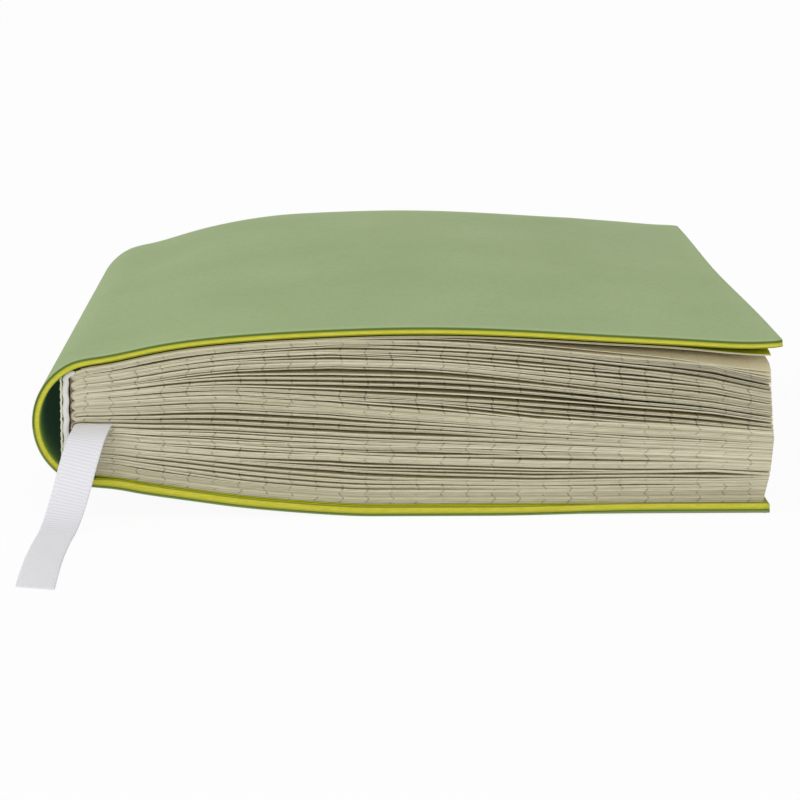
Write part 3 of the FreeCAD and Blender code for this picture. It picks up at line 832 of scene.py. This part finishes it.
# %% All the sheets' sections
# leaves just under an opening take a high tone, a painted highlight on their cut edges; the others a random tone
highlit_tones, shut_tones, blank_tone = (0.9, 1.0), (0, 0.85), 0.9657
points, faces, alongs, tones_and_highlights, ends = [], [], [], [], []
moves = [[] for _ in section_steps]
dice = np.random.default_rng(3)
for signature in range(signatures):
    for sheet in range(leaves_each // 2):
        line, radius = sheet_section(signature, sheet, tail_heights)
        later = [line] + [sheet_section(signature, sheet, heights)[0] for _, heights in section_steps]
        way = np.gradient(line, axis=0)
        way /= np.linalg.norm(way, axis=1)[:, None]
        side = np.stack((-way[:, 1], way[:, 0]), axis=1) * min(leaf_thickness / 2, radius * 0.9)
        middle = len(line) // 2
        run = np.abs(line[:, 0] - fold_centre) * np.where(np.abs(np.arange(len(line)) - middle) > 3, 1, 0)
        run += 0.9 * radius
        low, high = sheet_leaves(signature, sheet)
        # a leaf with an opening just above it gets the high tone of a painted highlight
        tone = [dice.uniform(*(highlit_tones if leaf + 1 in page_openings else shut_tones))
                for leaf in (low, high)]
        if high >= leaf_count - 3:
            tone[1] = blank_tone
        first = len(points)
        for i, (place, out) in enumerate(zip(line, side)):
            for point in (place - out, place + out):
                points.append((point[0], -page_half, point[1]))
                alongs.append(run[i])
                tones_and_highlights.append(tone[0] if i < middle else tone[1])
                ends.append(1.0 if i in (0, len(line) - 1) else 0.0)
                for k, one in enumerate(moves):
                    step = (later[k + 1][i] - later[k][i]) * MM
                    one.append((step[0], section_steps[k][0] * MM, step[1]))
        corners = range(first, len(points) - 2, 2)
        faces += [(corner, corner + 1, corner + 3, corner + 2) for corner in corners]
sections = piece("sheet_sections", points, faces, paper,
                 {"along": alongs, "leaf_tone_and_highlight": tones_and_highlights, "fore_end": ends}, warp=False)
for k, one in enumerate(moves):
    layer = sections.data.attributes.new("move_%d" % k, "FLOAT_VECTOR", "POINT")
    layer.data.foreach_set("vector", np.array(one, np.float32).ravel())

# %% [markdown]
# ## Drawing the sheets along the book
# The sections could be copied row by row in Python. Geometry Nodes say the same in a few steps: the tree
# takes the sections as flat faces standing at the tail, extrudes them towards the head with each step's
# own heights, and closes the tail with the same faces turned over.

# %% A tree of Geometry Nodes
class Tree:
    """A Geometry Nodes tree with named inputs, and one way to add a node."""

    def __init__(self, name, inputs):
        self.group = bpy.data.node_groups.new(name, "GeometryNodeTree")
        self.ids = {}
        self.group.interface.new_socket("Geometry", in_out="OUTPUT", socket_type="NodeSocketGeometry")
        self.group.interface.new_socket("Geometry", in_out="INPUT", socket_type="NodeSocketGeometry")
        for title, kind in inputs.items():
            self.ids[title] = self.group.interface.new_socket(title, in_out="INPUT", socket_type=kind).identifier
        self.start = self.group.nodes.new("NodeGroupInput")
        self.end = self.group.nodes.new("NodeGroupOutput")

    def add(self, kind, settings=None, sockets=None):
        node = self.group.nodes.new(kind)
        for key, value in (settings or {}).items():
            setattr(node, key, value)
        for key, value in (sockets or {}).items():
            for one in value if isinstance(value, list) else [value]:
                if isinstance(one, bpy.types.NodeSocket):
                    self.group.links.new(one, node.inputs[key])
                else:
                    node.inputs[key].default_value = one
        return node

    def made(self, obj, values, name):
        """The tree's result on obj as a plain mesh object of that name."""
        modifier = obj.modifiers.new("tree", "NODES")
        modifier.node_group = self.group
        for title, value in values.items():
            modifier[self.ids[title]] = value
        bpy.context.view_layer.update()
        mesh = bpy.data.meshes.new_from_object(obj.evaluated_get(bpy.context.evaluated_depsgraph_get()))
        bpy.data.objects.remove(obj)
        result = bpy.data.objects.new(name, mesh)
        bpy.context.scene.collection.objects.link(result)
        return result


print("a tree's result becomes a plain mesh")

# %% The leaves
drawing = Tree("drawn_along_the_book", {"Paper": "NodeSocketMaterial"})
grown, end_faces = drawing.start.outputs["Geometry"], True
for k in range(len(section_steps)):
    drawn = drawing.add("GeometryNodeExtrudeMesh", {"mode": "FACES"},
                        {"Mesh": grown, "Selection": end_faces, "Offset Scale": 0.0, "Individual": False})
    move = drawing.add("GeometryNodeInputNamedAttribute", {"data_type": "FLOAT_VECTOR"}, {"Name": "move_%d" % k})
    placed = drawing.add("GeometryNodeSetPosition",
                         sockets={"Geometry": drawn.outputs["Mesh"], "Selection": drawn.outputs["Top"],
                                  "Offset": move.outputs["Attribute"]})
    grown, end_faces = placed.outputs[0], drawn.outputs["Top"]
head_cut = drawing.add("GeometryNodeStoreNamedAttribute", {"data_type": "FLOAT", "domain": "FACE"},
                       {"Geometry": placed.outputs[0], "Name": "cut", "Value": drawn.outputs["Top"]})
tail_faces = drawing.add("GeometryNodeFlipFaces", sockets={"Mesh": drawing.start.outputs["Geometry"]})
tail_cut = drawing.add("GeometryNodeStoreNamedAttribute", {"data_type": "FLOAT", "domain": "FACE"},
                       {"Geometry": tail_faces.outputs[0], "Name": "cut", "Value": 1.0})
whole = drawing.add("GeometryNodeJoinGeometry", sockets={"Geometry": [head_cut.outputs[0], tail_cut.outputs[0]]})
closed = drawing.add("GeometryNodeMergeByDistance", sockets={"Geometry": whole.outputs[0], "Distance": 0.000001})
real = drawing.add("GeometryNodeRealizeInstances", sockets={"Geometry": closed.outputs[0]})
painted = drawing.add("GeometryNodeSetMaterial", sockets={"Geometry": real.outputs[0],
                                                          "Material": drawing.start.outputs["Paper"]})
drawing.group.links.new(painted.outputs[0], drawing.end.inputs[0])
leaves = drawing.made(sections, {"Paper": paper.material}, "folded_sheets")


def settle_mesh(obj):
    """Puts the finished mesh through the same warp as the other pieces."""
    places = np.zeros(len(obj.data.vertices) * 3)
    obj.data.vertices.foreach_get("co", places)
    obj.data.vertices.foreach_set("co", (settled(places.reshape(-1, 3) / MM) * MM).ravel())
    obj.data.update()


settle_mesh(leaves)
leaves.data.shade_smooth()
leaves.data.set_sharp_from_angle(angle=math.radians(40))
turned_outwards(leaves)
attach(leaves, "book_block"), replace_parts(leaves, "text_block"), leaves
print("leaves", len(leaves.data.polygons), "faces",
      [a.name for a in leaves.data.attributes if a.name in ("cut", "along", "leaf_tone_and_highlight")])

# %% [markdown]
# ## Endpapers
# A lime paper lines each cover, and a flyleaf with one lime and one cream side lies on the block. A plane
# laid against a cover would cross its curves. So each paper is a thin closed sheet between two lines of
# the section, and the pastedowns bend together with their covers.

# %% The endpapers' finishes
lime = Finish("endpaper_lime", paint(188, 192, 28), 0.8, Specular_IOR_Level=0.2)
lime_fibres = lime.noise((0.6, 0.6, 0.6), 4.0)
lime.feed("Base Color", lime.mixed(lime_fibres, paint(178, 182, 20), paint(198, 203, 40)))
lime.bump(lime_fibres, 0.02, 0.3)
cream = Finish("endpaper_cream", paint(200, 188, 160), 0.85, Specular_IOR_Level=0.2)
cream_fibres = cream.noise((0.5, 0.5, 0.5), 3.0)
cream.feed("Base Color", cream.mixed(cream_fibres, paint(192, 180, 150), paint(206, 196, 170)))
cream.bump(cream_fibres, 0.02, 0.3)
print("the endpapers are lime on one side and cream on the other")

# %% A thin sheet
def thin_sheet(name, lower, upper, half, finishes, top=0, rest=0, ys=None, rise=None):
    """A sheet between two lines of the section, with one finish on its top and one on the rest. It goes
    from -half to half, or over ys, and rise is how much higher each place on the line is at each y."""
    ys = np.linspace(-half, half, 9) if ys is None else ys
    rows, columns = len(lower), len(ys)
    rise = np.zeros((rows, columns)) if rise is None else rise
    points = [(p[0], y, p[1] + rise[r][c]) for line in (lower, upper) for r, p in enumerate(line)
              for c, y in enumerate(ys)]
    faces, one_side = closed_sheet_faces(rows, columns), (rows - 1) * (columns - 1)
    marks = [rest] * one_side + [top] * one_side + [rest] * (len(faces) - 2 * one_side)
    return turned_outwards(piece(name, points, faces, finishes, marks=marks))


print("sheets lie between two lines")

# %% Pastedowns
pastedown_half, pastedown_inset, pastedown_gap = 103.5, 1.5, 2.9
for side in ("front", "back"):
    # near the joint the paper has the lining's own steps, so that the two bend alike
    joint = to_hinge[side] - joint_reach
    from_edge = np.concatenate((np.linspace(pastedown_inset, joint, 70)[:-1],
                                np.arange(joint, to_hinge[side] - pastedown_gap, joint_step)))
    run = from_edge if side == "front" else from_fore_edge(side, from_edge)[::-1]
    # the front's paper keeps the depth that it has at the hinge
    to_go = run * 0 if side == "front" else run - hinge_run["back"]
    near, far = (across(run, [cover_depth(side, "paper", face, gone) for gone in to_go]) for face in (0, 1))
    low, high = (far, near) if side == "front" else (near, far)
    pasted = thin_sheet(side + "_pastedown_paper", low, high, pastedown_half, [lime, cream])
    bend(pasted, side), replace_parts(pasted, side + "_pastedown"), pasted

# %% Flyleaves
flyleaf_thickness, flyleaf_inset = 0.15, 2.0


def flyleaf_lines(x, bottom):
    """The lower and the upper line of a flyleaf in the section."""
    return np.stack((x, bottom), 1), np.stack((x, bottom + flyleaf_thickness), 1)


# the front one lies just over the leaves, closer still at the fore edge, and droops with them
fly_x = np.concatenate((np.linspace(fold_back + flyleaf_inset, 60, 60), np.linspace(61, page_edge, 8)))
fly_low = stack_top(fly_x) + 0.07 - 0.05 * ease((fly_x - 50) / 21)
fly_ys = -page_half + np.concatenate(([0.0], np.cumsum([step for step, _ in section_steps])))
fly_rise = [stack_top(fly_x, share) - stack_top(fly_x) for share in (1.0, *droop_shares)]
flyleaf = thin_sheet("front_flyleaf_paper", *flyleaf_lines(fly_x, fly_low), page_half, [lime, cream],
                     top=0, rest=1, ys=fly_ys, rise=np.stack(fly_rise, 1))
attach(flyleaf, "book_block"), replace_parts(flyleaf, "front_flyleaf"), flyleaf

# the back one lies under them, and ends a little before their fore edge
low_x = np.linspace(fold_back + flyleaf_inset, page_edge - 2.3, 66)
flyleaf = thin_sheet("back_flyleaf_paper", *flyleaf_lines(low_x, stack_bottom(low_x) - 0.22), page_half,
                     [lime, cream], top=1, rest=0)
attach(flyleaf, "book_block"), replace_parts(flyleaf, "back_flyleaf"), flyleaf

# %% [markdown]
# ## What holds the spine together
# Brown glue fills the valleys between the folds, gauze mull is stuck over it, white woven bands finish
# the head and tail, and a cream crepe liner stiffens the whole. Thread runs through every fold. The glue
# could be one plain strip, but light would show between it and the ten round folds. So its inner side is
# worked out from the signatures' pitch, and the layers on it stand at set distances behind.

# %% The spine's finishes
glue_finish = Finish("spine_glue", paint(104, 88, 60), 0.35, Coat_Weight=0.3)
glue_lumps = glue_finish.noise((0.8, 0.3, 0.8), 3.0)
glue_finish.feed("Base Color", glue_finish.mixed(glue_lumps, paint(84, 70, 46), paint(132, 112, 78)))
glue_finish.bump(glue_lumps, 0.1, 0.6)
mull_finish = Finish("mull_gauze", paint(214, 208, 190), 0.9)
strands = mull_finish.add("ShaderNodeTexWave", {"wave_type": "BANDS", "bands_direction": "Y"},
                          {"Vector": mull_finish.place((0.6, 0.6, 0.6)), "Scale": 1.0})
mull_finish.feed("Base Color", mull_finish.mixed(strands, paint(178, 170, 148), paint(222, 216, 200)))
mull_finish.bump(strands, 0.05, 0.6)
crepe = Finish("crepe_paper", paint(204, 205, 172), 0.85)
crinkles = crepe.noise((0.4, 0.12, 1.6), 4.0)
crepe.feed("Base Color", crepe.mixed(crinkles, paint(202, 204, 168), paint(224, 226, 200)))
crepe.bump(crinkles, 0.08, 0.6)
print("glue, gauze and crepe are ready")

# %% Glue, mull and liner
glue_half, mull_half, liner_half = 102.9, 88.0, 103.9
mull_x, mull_thickness = fold_back - 0.26, 0.14
liner_x, liner_thickness = -67.52, 0.36

spine_low, spine_high = float(stack_bottom(fold_centre)), float(stack_top(fold_centre))
signature_pitch = (spine_high - spine_low) / signatures
heights = np.linspace(spine_low + 0.1, spine_high - 0.1, 241)


def upright_sheet(name, inner_x, outer_x, half, finish):
    """A sheet that stands behind the folds, between two lines that are given as an x at each height."""
    inner, outer = (np.stack((np.broadcast_to(x, heights.shape), heights), 1) for x in (inner_x, outer_x))
    return thin_sheet(name, inner, outer, half, [finish])


# -1 and 1 are half way to the next signature's fold, 0 is the fold itself
beside_fold = (heights - spine_low) / signature_pitch % 1.0 * 2 - 1
valley = 1.0 - np.sqrt(1 - np.clip(np.abs(beside_fold), 0, 0.985)**2)
glue_inner = fold_back + 0.02 + valley * signature_pitch / 2 * 0.93
glue_outer = fold_back - 0.24 + valley * 0.25
glue_piece = upright_sheet("spine_glue_strip", glue_inner, glue_outer, glue_half, glue_finish)
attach(glue_piece, "book_block"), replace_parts(glue_piece, "spine_glue"), glue_piece

mull_piece = upright_sheet("spine_gauze", mull_x, mull_x - mull_thickness, mull_half, mull_finish)
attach(mull_piece, "book_block"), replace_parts(mull_piece, "spine_mull"), mull_piece

rippled_x = liner_x + 0.05 * np.sin(heights * 4.1) + 0.03 * np.sin(heights * 7.3 + 1.0)
liner_piece = upright_sheet("crepe_liner", rippled_x, rippled_x - liner_thickness, liner_half, crepe)
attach(liner_piece, "book_block"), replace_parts(liner_piece, "spine_liner"), liner_piece

# %% A soft bead
def tube_faces(rings, sides):
    """The faces of a closed tube, whose points are rings with that many sides."""
    tube = [(i * sides + k, i * sides + (k + 1) % sides) for i in range(rings - 1) for k in range(sides)]
    return ([(a, b, b + sides, a + sides) for a, b in tube]
            + [tuple(range(sides)), tuple(range((rings - 1) * sides, rings * sides))])


def swept_bead(name, path, radii, y_middle, finish, sides=14):
    """A soft bead along a line in the section, rounder than it is deep, with closed ends."""
    path = np.array(path, float)
    way = np.gradient(path, axis=0)
    way /= np.linalg.norm(way, axis=1)[:, None]
    side = np.stack((-way[:, 1], way[:, 0]), axis=1)
    points = []
    for i, (place, out) in enumerate(zip(path, side)):
        narrowing = math.sqrt(max(0.2, 1 - (2 * i / (len(path) - 1) - 1)**30))
        for k in range(sides):
            turn = 2 * math.pi * k / sides
            off = out * radii[0] * math.cos(turn) * narrowing
            points.append((place[0] + off[0], y_middle + radii[1] * math.sin(turn) * narrowing, place[1] + off[1]))
    return turned_outwards(piece(name, points, tube_faces(len(path), sides), finish))


print("beads are swept along the section")

# %% Head and tail bands
band_finish = Finish("woven_band", paint(214, 210, 204), 0.8)
band_cord = band_finish.add("ShaderNodeTexWave", {"wave_type": "BANDS", "bands_direction": "DIAGONAL"},
                            {"Vector": band_finish.place((1.1, 1.1, 1.1)), "Scale": 1.0, "Distortion": 1.5})
band_finish.feed("Base Color", band_finish.mixed(band_cord, paint(218, 216, 212), paint(226, 224, 220)))
band_finish.bump(band_cord, 0.008, 0.4)

# the bead climbs the spine and curls over the upper leaves, and a thin flange holds it to the folds
bead_x, bead_y, bead_radii, curl_start = -66.85, 103.5, (0.6, 0.5), spine_high - 1.7
flange_x, flange_y, flange_heights = (-66.32, -66.55), (103.2, 91.0), heights[::8]
climb = np.linspace(spine_low + 0.2, curl_start, 60)
curl = np.array([(bead_x + 1.9 * (1 - math.cos(turn)), curl_start + 1.5 * math.sin(turn))
                 for turn in np.linspace(0.1, math.pi / 2, 12)])
band_path = np.vstack((np.stack((bead_x + 0.12 * np.sin(climb * 1.7), climb), 1), curl))
for end, outward in (("tail", -1), ("head", 1)):
    bead = swept_bead(end + "_band_bead", band_path, bead_radii, outward * bead_y, band_finish)
    corners = [(flange_x[i], outward * flange_y[j]) for i, j in ((0, 0), (1, 0), (1, 1), (0, 1))]
    flange = [(x, y, z) for z in flange_heights for x, y in corners]
    strip = turned_outwards(piece(end + "_band_strip", flange, tube_faces(len(flange_heights), 4), band_finish))
    for obj in (bead, strip):
        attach(obj, "book_block"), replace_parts(obj, end + "_band"), obj

# %% Sewing thread
thread_finish = Finish("sewing_thread", paint(232, 230, 220), 0.7)
twist = thread_finish.add("ShaderNodeTexWave", {"wave_type": "BANDS", "bands_direction": "DIAGONAL"},
                          {"Vector": thread_finish.place((1.4, 1.4, 1.4)), "Scale": 1.0})
thread_finish.feed("Base Color", thread_finish.mixed(twist, paint(206, 203, 190), paint(236, 234, 226)))
thread_finish.bump(twist, 0.03, 0.6)
stitch_places = settled([(fold_centre + 0.3, y, spine_low + (k + 0.5) * signature_pitch)
                         for k in range(signatures) for y in (-76, -38, 0, 38, 76)])
station_mesh = bpy.data.meshes.new("stitch_stations")
station_mesh.from_pydata((stitch_places * MM).tolist(), [], [])
stations = bpy.data.objects.new("stitch_stations", station_mesh)
bpy.context.scene.collection.objects.link(stations)

sewing = Tree("stitches", {"Length": "NodeSocketFloat", "Thickness": "NodeSocketFloat",
                           "Thread": "NodeSocketMaterial"})
given = sewing.start.outputs
stitch_ends = [sewing.add("ShaderNodeVectorMath", {"operation": "SCALE"},
                          {0: (0.0, share, 0.0), "Scale": given["Length"]}) for share in (0.5, -0.5)]
stitch_line = sewing.add("GeometryNodeCurvePrimitiveLine",
                         sockets={"Start": stitch_ends[0].outputs[0], "End": stitch_ends[1].outputs[0]})
stitch_round = sewing.add("GeometryNodeCurvePrimitiveCircle",
                          sockets={"Resolution": 6, "Radius": given["Thickness"]})
stitch = sewing.add("GeometryNodeCurveToMesh",
                    sockets={"Curve": stitch_line.outputs[0], "Profile Curve": stitch_round.outputs[0],
                             "Fill Caps": True})
stitches = sewing.add("GeometryNodeInstanceOnPoints",
                      sockets={"Points": given["Geometry"], "Instance": stitch.outputs[0]})
real_stitches = sewing.add("GeometryNodeRealizeInstances", sockets={"Geometry": stitches.outputs[0]})
sewn = sewing.add("GeometryNodeSetMaterial",
                  sockets={"Geometry": real_stitches.outputs[0], "Material": given["Thread"]})
sewing.group.links.new(sewn.outputs[0], sewing.end.inputs[0])
threads = sewing.made(stations, {"Length": 0.019, "Thickness": 0.00005, "Thread": thread_finish.material},
                      "thread_runs")
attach(threads, "book_block"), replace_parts(threads, "sewing_thread"), threads
print("thread runs", len(threads.data.polygons), "faces")

# %% [markdown]
# ## The ribbon's weave
# The ribbon has fine ribs across it and a closed selvedge on each side. Modelled threads would be far
# finer than the rest of the book. So a thin strip follows the line that was read from the spline, and
# its own coordinates, in millimetres, carry the weave, so the ribs turn with it.

# %% The weave
rib_pitch, pick_pitch, knot_pitch, selvedge_width = 0.7, 0.35, 0.9, 0.9
satin = Finish("ribbon_weave", paint(224, 224, 229), 0.5, Sheen_Weight=0.5)
ribbon_map = satin.add("ShaderNodeUVMap", {"uv_map": "weave"})
split = satin.add("ShaderNodeSeparateXYZ", sockets={"Vector": ribbon_map}, output=1)
sideways = satin.add("ShaderNodeSeparateXYZ", sockets={"Vector": ribbon_map}, output=0)
ribs = ((split / rib_pitch).fraction() - 0.5).size() * 2
picks = ((sideways / pick_pitch).fraction() - 0.5).size() * 2
from_middle = (sideways - ribbon_width / 2).size()
selvedge = ((from_middle - (ribbon_width / 2 - selvedge_width)) * 8).clamped()
knots = ((split / knot_pitch).fraction() - 0.5).size() * 2
weave = ribs * (1 - selvedge) * 0.8 + picks * 0.25 + selvedge * (knots * 0.6 + 0.1)
satin.feed("Base Color", satin.mixed((weave * 0.9).clamped(), paint(212, 212, 218), paint(234, 233, 238)))
satin.bump(weave, 0.035, 0.6)
print("the weave has a rib every", rib_pitch, "mm")

# %% The ribbon
ribbon_step, cut_reach = 0.6, 4.0
# where the points lie across the ribbon, and how far its faces stand out there
strip_shares = np.concatenate(((-0.5, -0.49), np.linspace(-0.46, 0.46, 9), (0.49, 0.5)))
strip_lifts = np.interp(np.abs(strip_shares), (0.46, 0.49, 0.5), (0.5, 0.42, 0.12))


def ribbon_strip(name, line, width, thickness, slant=0.0):
    """A flat woven strip of that width along a line. It stays level across, and its end is cut aslant."""
    steps = np.concatenate(([0.0], np.cumsum(np.linalg.norm(np.diff(line, axis=0), axis=1))))
    even = np.linspace(0, steps[-1], int(steps[-1] / ribbon_step) + 2)
    line = np.stack([np.interp(even, steps, line[:, i]) for i in range(3)], axis=1)
    way = np.gradient(line, axis=0)
    way /= np.linalg.norm(way, axis=1)[:, None]
    level = np.array((1.0, 0.0, 0.0)) - way * way[:, :1]
    level /= np.linalg.norm(level, axis=1)[:, None]
    up = np.cross(level, way)
    if up[-1][2] < 0:
        up = -up
    cut_off = np.maximum(0.0, (even - even[-1] + cut_reach) / cut_reach)
    points, maps = [], []
    for side in (1, -1):
        for i, (place, across_it, out) in enumerate(zip(line, level, up)):
            for share, lift in zip(strip_shares, strip_lifts):
                point = place + across_it * share * width + out * side * lift * thickness
                points.append(point - way[i] * (slant * (0.5 - share) + 0.3) * cut_off[i])
                maps.append(((share + 0.5) * width, even[i]))
    faces = closed_sheet_faces(len(line), len(strip_shares))
    strip = turned_outwards(piece(name, points, faces, satin, warp=False, sharp=60))
    layer = strip.data.uv_layers.new(name="weave")
    for loop, data in zip(strip.data.loops, layer.data):
        data.uv = maps[loop.vertex_index]
    return strip


ribbon = ribbon_strip("ribbon_marker", ribbon_line, ribbon_width, ribbon_thickness, slant=3.0)
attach(ribbon, "book_block"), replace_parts(ribbon, "ribbon"), ribbon

# %% The ribbon inside the book
inner_thickness = 0.2
low, high = (np.array(corner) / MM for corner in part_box("ribbon_inner_run"))
middle = (low + high) / 2
inside_line = settled([(middle[0], y, middle[2]) for y in np.linspace(low[1], high[1], 60)])
inside = ribbon_strip("ribbon_inside", inside_line, high[0] - low[0], inner_thickness)
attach(inside, "book_block"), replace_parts(inside, "ribbon_inner_run"), inside
print("the ribbon lies inside from", round(low[1], 1), "to", round(high[1], 1), "mm")

# %% [markdown]
# ## Floor and light
# The book lies on a white table in calm, even light. One hard lamp would draw black lines into the
# openings between the leaves. So two broad lamps, a window on the left and a wider one low in front,
# work with a weak white sky, and the floor takes the book's soft shadow but glows nearly white itself.

# %% The floor
floor_glow = 0.94
floor_mesh = bpy.data.meshes.new("floor")
floor_mesh.from_pydata([(-3, -3, 0), (3, -3, 0), (3, 3, 0), (-3, 3, 0)], [], [(0, 1, 2, 3)])
floor = bpy.data.objects.new("floor", floor_mesh)
bpy.context.scene.collection.objects.link(floor)
table = Finish("floor_white", paint(240, 240, 240), 0.9)
glow = table.add("ShaderNodeEmission", sockets={"Color": (1, 1, 1, 1), "Strength": 1.0})
both = table.tree.nodes.new("ShaderNodeMixShader")
table.tree.links.new((table.seen_directly() * floor_glow).socket, both.inputs[0])
table.tree.links.new(table.shader.outputs[0], both.inputs[1])
table.tree.links.new(glow.socket, both.inputs[2])
table.tree.links.new(both.outputs[0], table.tree.nodes["Material Output"].inputs[0])
floor_mesh.materials.append(table.material)
print("the floor glows at", floor_glow, "of white")

# %% The sky and the lamps
sky_light = 0.7
sky = bpy.data.worlds.new("sky")
bpy.context.scene.world = sky
sky.use_nodes = True
background = sky.node_tree.nodes["Background"]
background.inputs["Color"].default_value = (1, 1, 1, 1)
sky_strength = Nodes(sky.node_tree).seen_directly() * (1.0 - sky_light) + sky_light
sky.node_tree.links.new(sky_strength.socket, background.inputs["Strength"])


def lamp(name, place, aim, size, watts):
    """A square lamp at a place in metres, turned to what it is aimed at."""
    light = bpy.data.lights.new(name, "AREA")
    light.energy, light.size = watts, size
    obj = bpy.data.objects.new(name, light)
    bpy.context.scene.collection.objects.link(obj)
    obj.location = place
    obj.rotation_euler = (Vector(aim) - Vector(place)).to_track_quat("-Z", "Y").to_euler()


book_middle = (0, 0, 0.02)
lamp("window", (-1.05, -0.5, 0.66), book_middle, 0.9, 2.5)
lamp("front", (-0.2, -1.5, 0.20), book_middle, 1.0, 8.0)
print("stage is set")
